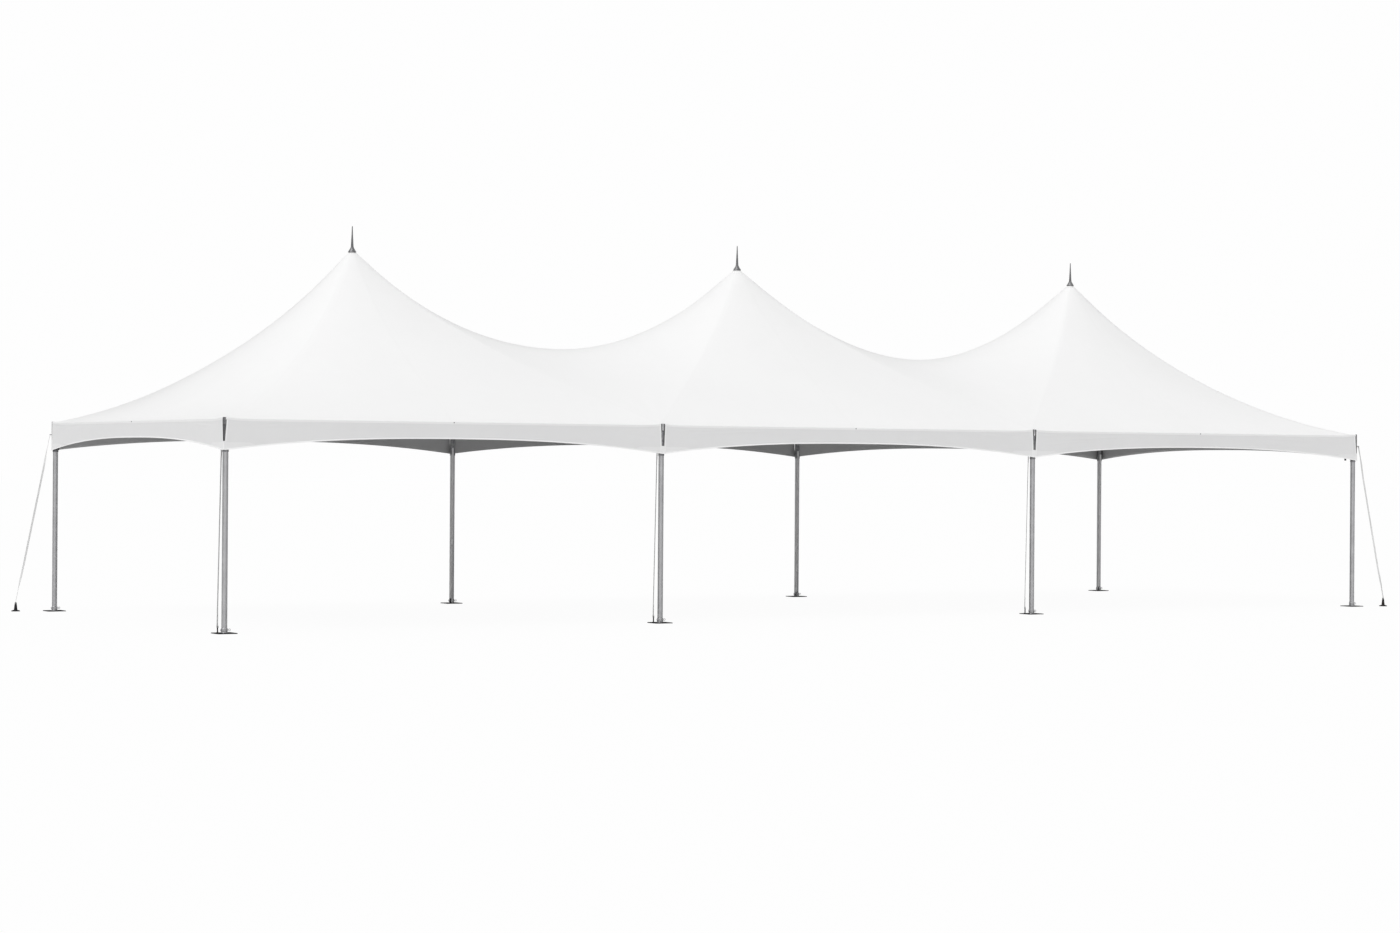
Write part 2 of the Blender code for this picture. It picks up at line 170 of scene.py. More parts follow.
def newMaterial(name, roughness, metallic=0.0):
    material = bpy.data.materials.new(name)
    material.use_nodes = True
    shader = material.node_tree.nodes["Principled BSDF"]
    shader.inputs["Roughness"].default_value = roughness
    shader.inputs["Metallic"].default_value = metallic
    place = material.node_tree.nodes.new("ShaderNodeTexCoord").outputs["Object"]
    return material, material.node_tree, shader, place


def dress(tree, shader, colour, height, strength, distance, roughness=None):
    tree.links.new(colour, shader.inputs["Base Color"])
    if roughness is not None:
        tree.links.new(roughness, shader.inputs["Roughness"])
    bump = addNode(tree, "ShaderNodeBump", {"Height": height, "Strength": strength, "Distance": distance})
    tree.links.new(bump.outputs[0], shader.inputs["Normal"])


# Effects that several finishes share

def makeWovenScrim():
    # the yarns that show through a coated cloth, along the first two axes of the vector
    group, vector, yarns, made = newGroup("wovenScrim", "Yarns", 400, ["Height"])
    parts = splitUp(group, vector)
    angle = times(group, yarns, 2 * math.pi)
    both = maths(group, "MAXIMUM", sine(group, parts[0], angle), sine(group, parts[1], angle))
    group.links.new(mapRange(group, both, -1, 1, 0, 1), made["Height"])
    return group


def makeSoftWeather():
    # broad clouds of dust and wash marks, with a finer mottle in them
    group, vector, scale, made = newGroup("softWeather", "Scale", 0.6, ["Shade"])
    broad = noise(group, vector, scale, 4, 0.55)
    fine = noise(group, vector, times(group, scale, 11), 3, 0.6)
    both = blend(group, fine, broad, 0.75)
    group.links.new(mapRange(group, both, 0.3, 0.7, 0, 1, "SMOOTHSTEP"), made["Shade"])
    return group


def makeDrawnGrain():
    # fine scratches along a drawn tube: a noise that is squeezed across the tube
    group, vector, squeeze, made = newGroup("drawnGrain", "Squeeze", (1, 1, 1), ["Grain", "Blotch"])
    thin = addNode(group, "ShaderNodeVectorMath", {0: vector, 1: squeeze}, operation="MULTIPLY").outputs[0]
    group.links.new(noise(group, thin, 1, 4, 0.6), made["Grain"])
    group.links.new(noise(group, vector, 7, 3, 0.5), made["Blotch"])
    return group


def makeZincSpangle():
    # crystals of hot dip zinc
    group, vector, scale, made = newGroup("zincSpangle", "Scale", 90, ["Crystal", "Grime"])
    cells = addNode(group, "ShaderNodeTexVoronoi", {"Vector": vector, "Scale": scale})
    value = addNode(group, "ShaderNodeSeparateColor", {0: cells.outputs["Color"]}).outputs[0]
    group.links.new(value, made["Crystal"])
    group.links.new(mapRange(group, noise(group, vector, 14, 5), 0.45, 0.7, 0, 1), made["Grime"])
    return group


def makeScuffs():
    # worn and rusty patches on plates and stakes
    group, vector, scale, made = newGroup("scuffs", "Scale", 25, ["Worn", "Rust"])
    rough = noise(group, vector, scale, 6, 0.7)
    patch = noise(group, vector, times(group, scale, 0.4), 4, 0.6)
    group.links.new(mapRange(group, rough, 0.55, 0.68, 0, 1), made["Worn"])
    group.links.new(mapRange(group, patch, 0.56, 0.66, 0, 1), made["Rust"])
    return group


wovenScrim = makeWovenScrim()
softWeather = makeSoftWeather()
drawnGrain = makeDrawnGrain()
zincSpangle = makeZincSpangle()
scuffs = makeScuffs()


# Finishes

def makeRoofSeams(tree, place):
    # welded laps between the strips of a roof panel, and along the hips, from the place in the bay
    parts = splitUp(tree, place)
    fromLeg = maths(tree, "PINGPONG", maths(tree, "ADD", parts[0], halfLength), bay / 2)
    across = maths(tree, "SUBTRACT", bay / 2, fromLeg)  # from the middle of the bay, either way
    along = maths(tree, "ABSOLUTE", parts[1])
    hip = maths(tree, "SUBTRACT", across, along)  # under 0 on the long sides, over 0 towards the ends
    nearHip = times(tree, maths(tree, "ABSOLUTE", hip), math.sqrt(0.5))
    strip = maths(tree, "MINIMUM", across, along)  # the place across its panel, whichever panel it is
    nearSeam = maths(tree, "PINGPONG", strip, roofCloth["stripWidth"])
    nearest = maths(tree, "MINIMUM", nearHip, nearSeam)
    edge = roofCloth["lap"] / 2
    return mapRange(tree, nearest, edge - 0.002, edge + 0.002, 1, 0, "SMOOTHSTEP")


vinyl = {
    "yarns": 350,  # in a metre
    "yarnHeight": 0.03,
    "weather": 0.55,
    "rough": 0.37,
    "smooth": 0.29,  # under about 0.27 the cloth is taken for a mirror, and the render shows patches
    "lapShade": 0.5,
    "bump": (0.35, 0.0012),
}


def makeVinyl(name, light, dark, seams=None):
    material, tree, shader, place = newMaterial(name, vinyl["rough"])
    weather = useGroup(tree, softWeather, place, vinyl["weather"])["Shade"]
    shade = weather
    height = times(tree, useGroup(tree, wovenScrim, place, vinyl["yarns"])["Height"], vinyl["yarnHeight"])
    if seams:
        lap = seams(tree, place)
        shade = maths(tree, "SUBTRACT", weather, times(tree, lap, vinyl["lapShade"]))
        height = maths(tree, "ADD", height, lap)
    roughness = mapRange(tree, weather, 0, 1, vinyl["rough"], vinyl["smooth"])
    dress(tree, shader, tint(tree, shade, dark, light), height, *vinyl["bump"], roughness)
    return material


def makeTube(name, squeeze):
    material, tree, shader, place = newMaterial(name, 0.36, 0.92)
    grain = useGroup(tree, drawnGrain, place, squeeze)
    shade = mapRange(tree, blend(tree, grain["Blotch"], grain["Grain"], 0.6), 0.3, 0.7, 0, 1)
    roughness = mapRange(tree, grain["Grain"], 0.3, 0.7, 0.28, 0.46)
    colour = tint(tree, shade, (0.40, 0.40, 0.41), (0.60, 0.60, 0.61))
    dress(tree, shader, colour, grain["Grain"], 0.12, 0.0006, roughness)
    return material


def makeZinc(name, light, dark, roughness=0.5, metallic=0.8):
    material, tree, shader, place = newMaterial(name, roughness, metallic)
    zinc = useGroup(tree, zincSpangle, place, 90)
    shade = maths(tree, "SUBTRACT", zinc["Crystal"], times(tree, zinc["Grime"], 0.6))
    gloss = mapRange(tree, zinc["Crystal"], 0, 1, roughness - 0.1, roughness + 0.1)
    dress(tree, shader, tint(tree, shade, dark, light), zinc["Grime"], 0.2, 0.0006, gloss)
    return material


def makePlateSteel(name):
    material, tree, shader, place = newMaterial(name, 0.7)
    shader.inputs["Specular IOR Level"].default_value = 0.0
    wear = useGroup(tree, scuffs, place, 40)
    bare = tint(tree, wear["Worn"], (0.028, 0.028, 0.030), (0.070, 0.070, 0.072))
    inputs = {0: times(tree, wear["Rust"], 0.5), 6: bare, 7: (0.085, 0.058, 0.045, 1)}
    colour = addNode(tree, "ShaderNodeMix", inputs, data_type="RGBA").outputs[2]
    dress(tree, shader, colour, wear["Worn"], 0.3, 0.0008, mapRange(tree, wear["Worn"], 0, 1, 0.9, 0.7))
    return material


def mapParts(tree):
    # the two parts of the UV map: across a strap or round a cable, and metres along it
    return splitUp(tree, addNode(tree, "ShaderNodeUVMap").outputs[0])[:2]


def makeWebbing(name):
    # woven polyester: ribs across the strap, cords along it
    material, tree, shader, place = newMaterial(name, 0.8)
    across, along = mapParts(tree)
    weave = times(tree, sine(tree, along, 2 * math.pi * 420), sine(tree, across, 2 * math.pi * 10))
    dust = useGroup(tree, softWeather, place, 6)["Shade"]
    colour = tint(tree, dust, (0.66, 0.66, 0.655), (0.77, 0.77, 0.77))
    dress(tree, shader, colour, mapRange(tree, weave, -1, 1, 0, 1), 0.5, 0.0008)
    return material


def makeCable(name):
    # strands that wind round the cable, with painted shade darkening the grooves between them
    material, tree, shader, place = newMaterial(name, 0.4, 0.95)
    turns, along = mapParts(tree)
    wound = maths(tree, "ADD", times(tree, turns, 7), times(tree, along, 70))
    strandsAndGrooveShade = maths(tree, "ABSOLUTE", sine(tree, wound, math.pi))
    # the colour is painted shade: dark in the grooves between strands, light on their crests; the same
    # pattern gives the bump
    dress(tree, shader, tint(tree, strandsAndGrooveShade, (0.12, 0.12, 0.12), (0.62, 0.62, 0.62)), strandsAndGrooveShade, 0.8, 0.0015)
    return material


def makePlastic(name, colour):
    material, tree, shader, place = newMaterial(name, 0.5)
    grain = noise(tree, place, 60, 4)
    pale = [part * 1.6 for part in colour]
    dress(tree, shader, tint(tree, grain, colour, pale), grain, 0.2, 0.0004)
    return material


# Setting

light = {
    "sky": 0.80,
    "sunStrength": 1.12,
    "sunTurn": (math.radians(37), 0, math.radians(-70)),
    "sunAngle": math.radians(30),
    "paper": 0.99,  # how bright the camera sees the backdrop and the floor
    "floorSize": 600,
    "bounce": 0.90,  # how much light the floor throws up at the tent
    "shadowShare": 0.03,  # how much of the tent's shadow the camera sees on the floor
    # dark screens at both sides of the tent and a low dark band behind it, which the edges of the cloth
    # reflect: how dark, which way, where each sets in, going that way, and where it ends, going up
    "screen": {"dark": 0.88, "way": (0.855, -0.518, 0), "sets": (0.55, 0.9), "ends": (0.25, 0.6)},
    "hill": {"dark": 0.8, "way": (0.518, 0.855, 0), "sets": (0.3, 0.7), "ends": (0.10, 0.32)},
}


def darkBand(tree, way, height, band, bothSides):
    inputs = {0: way, 1: band["way"]}
    aside = addNode(tree, "ShaderNodeVectorMath", inputs, operation="DOT_PRODUCT").outputs["Value"]
    if bothSides:
        aside = maths(tree, "ABSOLUTE", aside)
    level = mapRange(tree, aside, *band["sets"], 0, band["dark"], "SMOOTHSTEP")
    return times(tree, level, mapRange(tree, height, *band["ends"], 1, 0, "SMOOTHSTEP"))


def forCamera(tree, usual, seen):
    # what the camera sees directly, in place of what lights the tent
    pathKind = tree.nodes.new("ShaderNodeLightPath").outputs["Is Camera Ray"]
    inputs = {0: pathKind, 1: usual.outputs[0], 2: seen.outputs[0]}
    return addNode(tree, "ShaderNodeMixShader", inputs).outputs[0]


def setSky():
    world = bpy.data.worlds.new("paleSky")
    bpy.context.scene.world = world
    world.use_nodes = True
    tree = world.node_tree
    backdrop = tree.nodes["Background"]
    backdrop.inputs["Color"].default_value = (1, 1, 1, 1)
    way = tree.nodes.new("ShaderNodeTexCoord").outputs["Generated"]
    height = maths(tree, "ABSOLUTE", splitUp(tree, way)[2])
    screen = darkBand(tree, way, height, light["screen"], True)
    hill = darkBand(tree, way, height, light["hill"], False)
    darkest = maths(tree, "MAXIMUM", screen, hill)
    tree.links.new(mapRange(tree, darkest, 0, 1, light["sky"], 0), backdrop.inputs["Strength"])
    seen = addNode(tree, "ShaderNodeBackground", {"Color": (1, 1, 1, 1), "Strength": light["paper"]})
    tree.links.new(forCamera(tree, backdrop, seen), tree.nodes["World Output"].inputs["Surface"])
    bpy.ops.object.light_add(type="SUN", rotation=light["sunTurn"], location=(0, 0, 30))
    sun = bpy.context.active_object
    sun.name = "softSun"
    sun.data.energy = light["sunStrength"]
    sun.data.angle = light["sunAngle"]
    bpy.context.scene.view_settings.view_transform = "Standard"


def layFloor():
    bpy.ops.mesh.primitive_plane_add(size=light["floorSize"], location=(0, 0, 0))
    floor = bpy.context.active_object
    floor.name = "paleFloor"
    material, tree, shader, place = newMaterial("paleFloor", 0.9)
    mottle = noise(tree, place, 0.8, 2)
    bright = light["bounce"]
    tree.links.new(tint(tree, mottle, (bright,) * 3, (bright * 1.01,) * 3), shader.inputs["Base Color"])
    shader.inputs["Specular IOR Level"].default_value = 0.0
    paper = addNode(tree, "ShaderNodeEmission", {"Color": (1, 1, 1, 1), "Strength": light["paper"]})
    white = addNode(tree, "ShaderNodeBsdfDiffuse", {"Color": (0.95, 0.95, 0.95, 1)})
    inputs = {0: 1 - light["shadowShare"], 1: white.outputs[0], 2: paper.outputs[0]}
    seen = addNode(tree, "ShaderNodeMixShader", inputs)
    tree.links.new(forCamera(tree, shader, seen), tree.nodes["Material Output"].inputs["Surface"])
    floor.data.materials.append(material)


setCamera()
setSky()
layFloor()
print("camera, sky and floor set")


# Modelling helpers

def deselect():
    if bpy.context.object and bpy.context.object.mode != "OBJECT":
        bpy.ops.object.mode_set(mode="OBJECT")
    bpy.ops.object.select_all(action="DESELECT")


def pick(*pieces):
    deselect()
    for piece in pieces:
        piece.select_set(True)
    bpy.context.view_layer.objects.active = pieces[0]


def edit(piece, kind="VERT"):
    pick(piece)
    bpy.ops.object.mode_set(mode="EDIT")
    bpy.ops.mesh.select_mode(type=kind)
    bpy.ops.mesh.select_all(action="DESELECT")


def choose(piece, kind, wanted):
    # selects what is wanted and stays in edit mode
    edit(piece, kind)
    bpy.ops.object.mode_set(mode="OBJECT")
    mesh = piece.data
    for item in {"VERT": mesh.vertices, "EDGE": mesh.edges, "FACE": mesh.polygons}[kind]:
        item.select = wanted(item)
    bpy.ops.object.mode_set(mode="EDIT")


def done(piece, name=None, material=None, smooth=35):
    bpy.ops.object.mode_set(mode="OBJECT")
    pick(piece)
    bpy.ops.object.transform_apply(location=True, rotation=True, scale=True)
    if smooth:
        bpy.ops.object.shade_smooth_by_angle(angle=math.radians(smooth))
    if name:
        piece.name = name
    if material:
        piece.data.materials.clear()
        piece.data.materials.append(material)
    return piece


def turned(name, profile, material, sides=32, start=(0, 0, 0), towards=(0, 0, 1), smooth=35):
    # a round piece that grows from its foot: each (radius, height) of the profile is one extrusion
    deselect()
    radius, height = profile[0]
    foot = (0, 0, height)
    bpy.ops.mesh.primitive_circle_add(vertices=sides, radius=radius, fill_type="NGON", location=foot)
    piece = bpy.context.active_object
    bpy.ops.object.transform_apply(location=True)
    bpy.ops.object.mode_set(mode="EDIT")
    bpy.ops.mesh.select_all(action="SELECT")
    for nextRadius, nextHeight in profile[1:]:
        bpy.ops.mesh.extrude_region_move(TRANSFORM_OT_translate={"value": (0, 0, nextHeight - height)})
        grow = nextRadius / radius
        if grow != 1:
            bpy.ops.transform.resize(value=(grow, grow, 1), center_override=(0, 0, nextHeight))
        radius, height = nextRadius, nextHeight
    bpy.ops.mesh.select_all(action="SELECT")
    bpy.ops.mesh.normals_make_consistent(inside=False)
    bpy.ops.object.mode_set(mode="OBJECT")
    piece.rotation_mode = "QUATERNION"
    piece.rotation_quaternion = Vector(towards).to_track_quat("Z", "Y")
    piece.location = start
    return done(piece, name, material, smooth)


def slab(name, size, place, material, corner=0.0, edge=0.0, segments=4):
    # a plate or block: its upright corners are rounded, then the rims of its two faces
    deselect()
    bpy.ops.mesh.primitive_cube_add(size=1, location=(0, 0, 0))
    piece = bpy.context.active_object
    piece.scale = size
    bpy.ops.object.transform_apply(scale=True)

    def upright(line):
        first, second = (piece.data.vertices[number].co.z for number in line.vertices)
        return abs(first - second) > size[2] / 2

    if corner:
        choose(piece, "EDGE", upright)
        bpy.ops.mesh.bevel(offset=corner, segments=segments, affect="EDGES")
        bpy.ops.object.mode_set(mode="OBJECT")
    if edge:
        choose(piece, "EDGE", lambda line: not upright(line))
        bpy.ops.mesh.bevel(offset=edge, segments=2, affect="EDGES")
        bpy.ops.object.mode_set(mode="OBJECT")
    piece.location = place
    return done(piece, name, material)


def ring(name, bigRadius, smallRadius, place, towards, material, steps=24, sides=8):
    deselect()
    bpy.ops.mesh.primitive_torus_add(
        major_segments=steps, minor_segments=sides, major_radius=bigRadius, minor_radius=smallRadius
    )
    piece = bpy.context.active_object
    piece.rotation_mode = "QUATERNION"
    piece.rotation_quaternion = Vector(towards).to_track_quat("Z", "Y")
    piece.location = place
    return done(piece, name, material)


def roundBar(radius, start, stop, edge):
    # profile of a straight bar with bevelled rims
    return [(radius - edge, start), (radius, start + edge), (radius, stop - edge), (radius - edge, stop)]


def dome(radius, height):
    # profile of a low round head
    return [(radius, 0), (radius, height * 0.35), (radius * 0.82, height * 0.8), (radius * 0.35, height)]


def cutWith(piece, cutter):
    pick(piece)
    cut = piece.modifiers.new("Cut", "BOOLEAN")
    cut.operation = "DIFFERENCE"
    cut.object = cutter
    bpy.ops.object.modifier_apply(modifier=cut.name)
    bpy.data.objects.remove(cutter)


def joined(name, pieces):
    pick(*pieces)
    if len(pieces) > 1:
        bpy.ops.object.join()
    pieces[0].name = name
    return pieces[0]


def copyOf(piece, name, place=(0, 0, 0), turn=0.0):
    twin = piece.copy()
    twin.data = piece.data.copy()
    twin.name = name
    bpy.context.scene.collection.objects.link(twin)
    twin.data.transform(Matrix.Translation(place) @ Matrix.Rotation(turn, 4, "Z"))
    return twin


def finishPiece(piece, slot, *nodes):
    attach(piece, "root")
    if nodes:
        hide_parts(*nodes)


def atLegs(master, stem, slot, turn=0.0):
    # a copy of the master at each leg, turned a step further at each in the row
    for label, home, way, index in legSpots():
        piece = copyOf(master, "%s_%s_look" % (stem, label), home, index * turn)
        finishPiece(piece, slot, "%s_%s" % (stem, label))
    bpy.data.objects.remove(master)


def atPeaks(master, stem, slot):
    for number, x in enumerate(peakX, 1):
        piece = copyOf(master, "%s_%d_look" % (stem, number), (x, 0, 0))
        finishPiece(piece, slot, "%s_%d" % (stem, number))
    bpy.data.objects.remove(master)


def clothGrid(name, columns, rows, spot):
    # a grid whose knots are put where the cloth hangs: spot gives their places by column and row
    deselect()
    bpy.ops.mesh.primitive_grid_add(x_subdivisions=columns - 1, y_subdivisions=rows - 1, size=2)
    cloth = bpy.context.active_object
    cloth.name = name
    places = np.empty(len(cloth.data.vertices) * 3, np.float32)
    cloth.data.vertices.foreach_get("co", places)
    places = places.reshape(-1, 3)
    column = np.rint((places[:, 0] + 1) / 2 * (columns - 1)).astype(int)
    row = np.rint((places[:, 1] + 1) / 2 * (rows - 1)).astype(int)
    moved = np.stack(spot(column, row), axis=1).astype(np.float32)
    cloth.data.vertices.foreach_set("co", moved.ravel())
    cloth.data.update()
    return cloth


def faceTowards(cloth, outward):
    # turns the cloth over where its outer face looks the wrong way
    lean = sum(face.normal.dot(Vector(outward)) * face.area for face in cloth.data.polygons)
    if lean < 0:
        edit(cloth, "FACE")
        bpy.ops.mesh.select_all(action="SELECT")
        bpy.ops.mesh.flip_normals()
        bpy.ops.object.mode_set(mode="OBJECT")


def thicken(cloth, thickness, lining=0, offset=-1):
    # the given surface stays the outer face, or the middle where offset is 0;
    # lining is the material number of the inner face
    pick(cloth)
    wall = cloth.modifiers.new("Thickness", "SOLIDIFY")
    wall.thickness = thickness
    wall.offset = offset
    wall.material_offset = lining
    bpy.ops.object.modifier_apply(modifier=wall.name)
    bpy.ops.object.shade_smooth_by_angle(angle=math.radians(50))


# Roof cloth

roofCloth = {
    "cells": 96,  # cells of the net across one bay
    "pullCore": 0.25,
    "lengthwisePull": 1.37,
    "hipPull": 11.35,
    "peakRing": 0.045,
    "peakSlope": 1.3,
    "peakPatch": 0.2,  # half the side of the square round a peak that is meshed in rings
    "lip": 0.015,  # how far the flat runs out past the leg line before it folds
    "slotHalf": 0.031,
    "thickness": 0.0012,
    "legRise": 0.012,  # the fittings hold the cloth a little above the tubes
    "legRiseReach": 0.11,
    "sit": 0.0025,  # the cloth on the tubes lies this far under the level of the frame
    "foldLeg": 0.006,
    "foldMiddle": 0.011,
    "foldReach": 0.45,
    "flap": 0.022,
    "stripWidth": bay / 4,
    "lap": 0.04,
    "flat": (7.15, 18.5),  # the panels of one bay are cut so that they rise to its peak
    # faint folds that fan out from the peaks and the legs: rise, count, where they are strongest, width
    "peakFolds": (0.0016, 14, 0.55, 0.4),
    "slopeFolds": (0.0022, 9, 1.5, 0.7),
    "legFolds": (0.0028, 13, 0.55, 0.32),
    "foldFree": 0.3,  # no such folds at the very edge of the cloth
}


def nearLeg(place, legs):
    return np.min([np.abs(place - leg) for leg in legs], axis=0)


def eaveLevel(place, legs):
    lift = roofCloth["legRise"] * np.exp(-((nearLeg(place, legs) / roofCloth["legRiseReach"]) ** 2))
    return clothTop - roofCloth["sit"] + lift


def bendAt(place, legs):
    # radius of the fold over the tube: tight at the legs, rounder between them
    toMiddle = np.clip((nearLeg(place, legs) - roofCloth["slotHalf"]) / roofCloth["foldReach"], 0, 1)
    toMiddle = toMiddle * toMiddle * (3 - 2 * toMiddle)
    return roofCloth["foldLeg"] + (roofCloth["foldMiddle"] - roofCloth["foldLeg"]) * toMiddle


def settleRoof():
    # the taut net: each knot rests where the pulls of its links balance, the eaves and peaks are held
    cells = roofCloth["cells"]
    x = np.linspace(-halfLength, halfLength, 3 * cells + 1)
    y = np.linspace(-halfWidth, halfWidth, cells + 1)
    step = bay / cells

    def pull(placeX, placeY):
        near = np.min([np.hypot(placeX - peak, placeY) for peak in peakX], axis=0)
        return np.hypot(1, near / roofCloth["pullCore"]) / near

    alongX = pull((x[1:, None] + x[:-1, None]) / 2, y[None, :]) * roofCloth["lengthwisePull"]
    alongY = pull(x[:, None], (y[None, 1:] + y[None, :-1]) / 2)
    hips = []
    for first in range(0, 3 * cells, cells):
        count = np.arange(cells)
        hips.append((first + count, count, first + count + 1, count + 1))
        hips.append((first + count, cells - count, first + count + 1, cells - count - 1))
    hipPull = roofCloth["hipPull"] / (step * math.sqrt(2))

    held = np.zeros((len(x), len(y)), bool)
    held[[0, -1], :] = True
    held[:, [0, -1]] = True
    height = np.full(held.shape, clothTop)
    apex = peakHeight + roofCloth["peakRing"] * roofCloth["peakSlope"]
    for peak in peakX:
        near = np.hypot(x[:, None] - peak, y[None, :])
        height += (apex - clothTop) * np.clip(1 - near / (bay / 2), 0, 1) ** 1.6
        held[np.argmin(np.abs(x - peak)), cells // 2] = True
    for edge in (0, -1):
        height[:, edge] = eaveLevel(x, legX)
        height[edge, :] = eaveLevel(y, [-halfWidth, halfWidth])

    def netPull(level):
        total = np.zeros_like(level)
        rise = alongX * (level[1:] - level[:-1])
        total[:-1] += rise
        total[1:] -= rise
        rise = alongY * (level[:, 1:] - level[:, :-1])
        total[:, :-1] += rise
        total[:, 1:] -= rise
        for fromX, fromY, toX, toY in hips:
            rise = hipPull * (level[toX, toY] - level[fromX, fromY])
            total[fromX, fromY] += rise
            total[toX, toY] -= rise
        total[held] = 0
        return total

    left = netPull(height)
    way = left.copy()
    for turn in range(2500):
        pulled = -netPull(way)
        before = (left * left).sum()
        gain = before / (way * pulled).sum()
        height += gain * way
        left -= gain * pulled
        after = (left * left).sum()
        if after < 1e-12:
            break
        way = left + way * (after / before)
    print("roof cloth settled in", turn, "turns")
    return x, y, height


def between(values, grid, place):
    # weights of the four grid lines round each place, for a smooth curve through the grid
    step = grid[1] - grid[0]
    first = np.clip(((place - grid[0]) / step).astype(int), 0, len(grid) - 2)
    part = (place - grid[first]) / step
    weights = [
        0.5 * (-part + 2 * part**2 - part**3),
        0.5 * (2 - 5 * part**2 + 3 * part**3),
        0.5 * (part + 4 * part**2 - 3 * part**3),
        0.5 * (-(part**2) + part**3),
    ]
    lines = [np.clip(first + offset, 0, len(grid) - 1) for offset in (-1, 0, 1, 2)]
    return sum(weight[:, None] * values[line] for weight, line in zip(weights, lines))


def heightsAt(x, y, net, placeX, placeY):
    rows = between(net, x, placeX)
    return between(rows.T, y, placeY).T


def gridLines(legs, cells):
    # lines of the cloth net along a side: even in each bay, with one at each edge of the slots
    slot = roofCloth["slotHalf"]
    lines = []
    for left, right in zip(legs, legs[1:]):
        lines += [left, *np.linspace(left + slot, right - slot, cells - 1)]
    return np.array([legs[0] - roofCloth["lip"], *lines, legs[-1], legs[-1] + roofCloth["lip"]])


def fan(away, turn, shift, rise, count, middle, width):
    return rise * np.sin(count * turn + shift) * np.exp(-((away - middle) / width) ** 2)


def ripple(x, y):
    rise = np.zeros_like(x)
    for peak in peakX:
        away = np.hypot(x - peak, y)
        turn = np.arctan2(y, x - peak)
        rise += fan(away, turn, 1.3 * peak, *roofCloth["peakFolds"])
        rise += fan(away, turn, 0.7 + peak, *roofCloth["slopeFolds"])
    for leg in legX:
        for side in (-1, 1):
            away = np.hypot(x - leg, y - side * halfWidth)
            turn = np.arctan2(side * (halfWidth - side * y), x - leg)
            rise += fan(away, turn, leg + math.pi / 2, *roofCloth["legFolds"])
    free = roofCloth["foldFree"]
    inside = np.clip((halfWidth - np.abs(y)) / free, 0, 1) * np.clip((halfLength - np.abs(x)) / free, 0, 1)
    return rise * inside


def foldStrip(name, places, legs, line, outward, alongX):
    # the edge of the roof cloth: over the tube, down the outside, as a flap on top of the valance
    steps = 9
    level = eaveLevel(places, legs)
    bend = np.minimum(bendAt(places, legs), clothOut - roofCloth["lip"])

    def spot(column, row):
        turn = np.clip((row - 1) / (steps - 3), 0, 1) * math.pi / 2
        radius = bend[column]
        out = np.where(row == 0, roofCloth["lip"], clothOut - radius + radius * np.sin(turn))
        drop = np.where(row == 0, 0, radius * (1 - np.cos(turn)))
        drop = np.where(row == steps - 1, radius + roofCloth["flap"], drop)
        side = line + outward * out
        height = level[column] - drop
        return (places[column], side, height) if alongX else (side, places[column], height)

    strip = clothGrid(name, len(places), steps, spot)
    faceTowards(strip, (0, outward, 1) if alongX else (outward, 0, 1))
    return strip


def crownPeak(roof, peak):
    # the grid round a peak gives way to rings that run up to the hole under the finial
    reach = roofCloth["peakPatch"]
    choose(roof, "FACE", lambda face: abs(face.center.x - peak) < reach and abs(face.center.y) < reach)
    bpy.ops.mesh.delete(type="FACE")
    bpy.ops.object.mode_set(mode="OBJECT")
    rim = len(list(borderEdges(roof, peak, reach + 0.1)))
    deselect()
    top = (peak, 0, peakHeight)
    bpy.ops.mesh.primitive_circle_add(vertices=rim, radius=roofCloth["peakRing"], location=top)
    crown = bpy.context.active_object
    bpy.ops.object.transform_apply(location=True)
    roof = joined("roofCloth", [roof, crown])
    rims = {edge.index for edge in borderEdges(roof, peak, reach + 0.1)}
    choose(roof, "EDGE", lambda edge: edge.index in rims)
    bpy.ops.mesh.bridge_edge_loops(number_cuts=5, smoothness=0, interpolation="LINEAR")
    bpy.ops.object.mode_set(mode="OBJECT")
    return roof


def makeRoof(outer, inner):
    x, y, net = settleRoof()
    cells = roofCloth["cells"]
    linesX = gridLines(legX, cells)
    linesY = gridLines([-halfWidth, halfWidth], cells)
    heights = heightsAt(x, y, net, np.clip(linesX, x[0], x[-1]), np.clip(linesY, y[0], y[-1]))

    def spot(column, row):
        placeX, placeY = linesX[column], linesY[row]
        return placeX, placeY, heights[column, row] + ripple(placeX, placeY)

    roof = clothGrid("roofCloth", len(linesX), len(linesY), spot)
    for peak in peakX:
        roof = crownPeak(roof, peak)
    faceTowards(roof, (0, 0, 1))
    sharpenHips(roof)
    strips = []
    for side in (-1, 1):
        for left, right in zip(legX, legX[1:]):
            places = segment(linesX, left, right)
            strips.append(foldStrip("fold", places, legX, side * halfWidth, side, True))
        places = segment(linesY, -halfWidth, halfWidth)
        strips.append(foldStrip("fold", places, [-halfWidth, halfWidth], side * halfLength, side, False))
    roof = joined("roofCloth", [roof, *strips])
    edit(roof)
    bpy.ops.mesh.select_all(action="SELECT")
    bpy.ops.mesh.remove_doubles(threshold=0.0002)
    bpy.ops.object.mode_set(mode="OBJECT")
    roof.data.materials.clear()
    roof.data.materials.append(outer)
    roof.data.materials.append(inner)
    thicken(roof, roofCloth["thickness"], 1)
    finishPiece(roof, "roof_vinyl", "roof_membrane")


def sharpenHips(roof):
    # the four-sided faces that a hip crosses are split along it, not across it
    step = bay / roofCloth["cells"]

    def onHip(face):
        across = min(abs(face.center.x - peak) for peak in peakX)
        return abs(across - abs(face.center.y)) < 0.6 * step

    choose(roof, "FACE", onHip)
    bpy.ops.mesh.quads_convert_to_tris(quad_method="LONGEST_DIAGONAL", ngon_method="BEAUTY")
    bpy.ops.object.mode_set(mode="OBJECT")


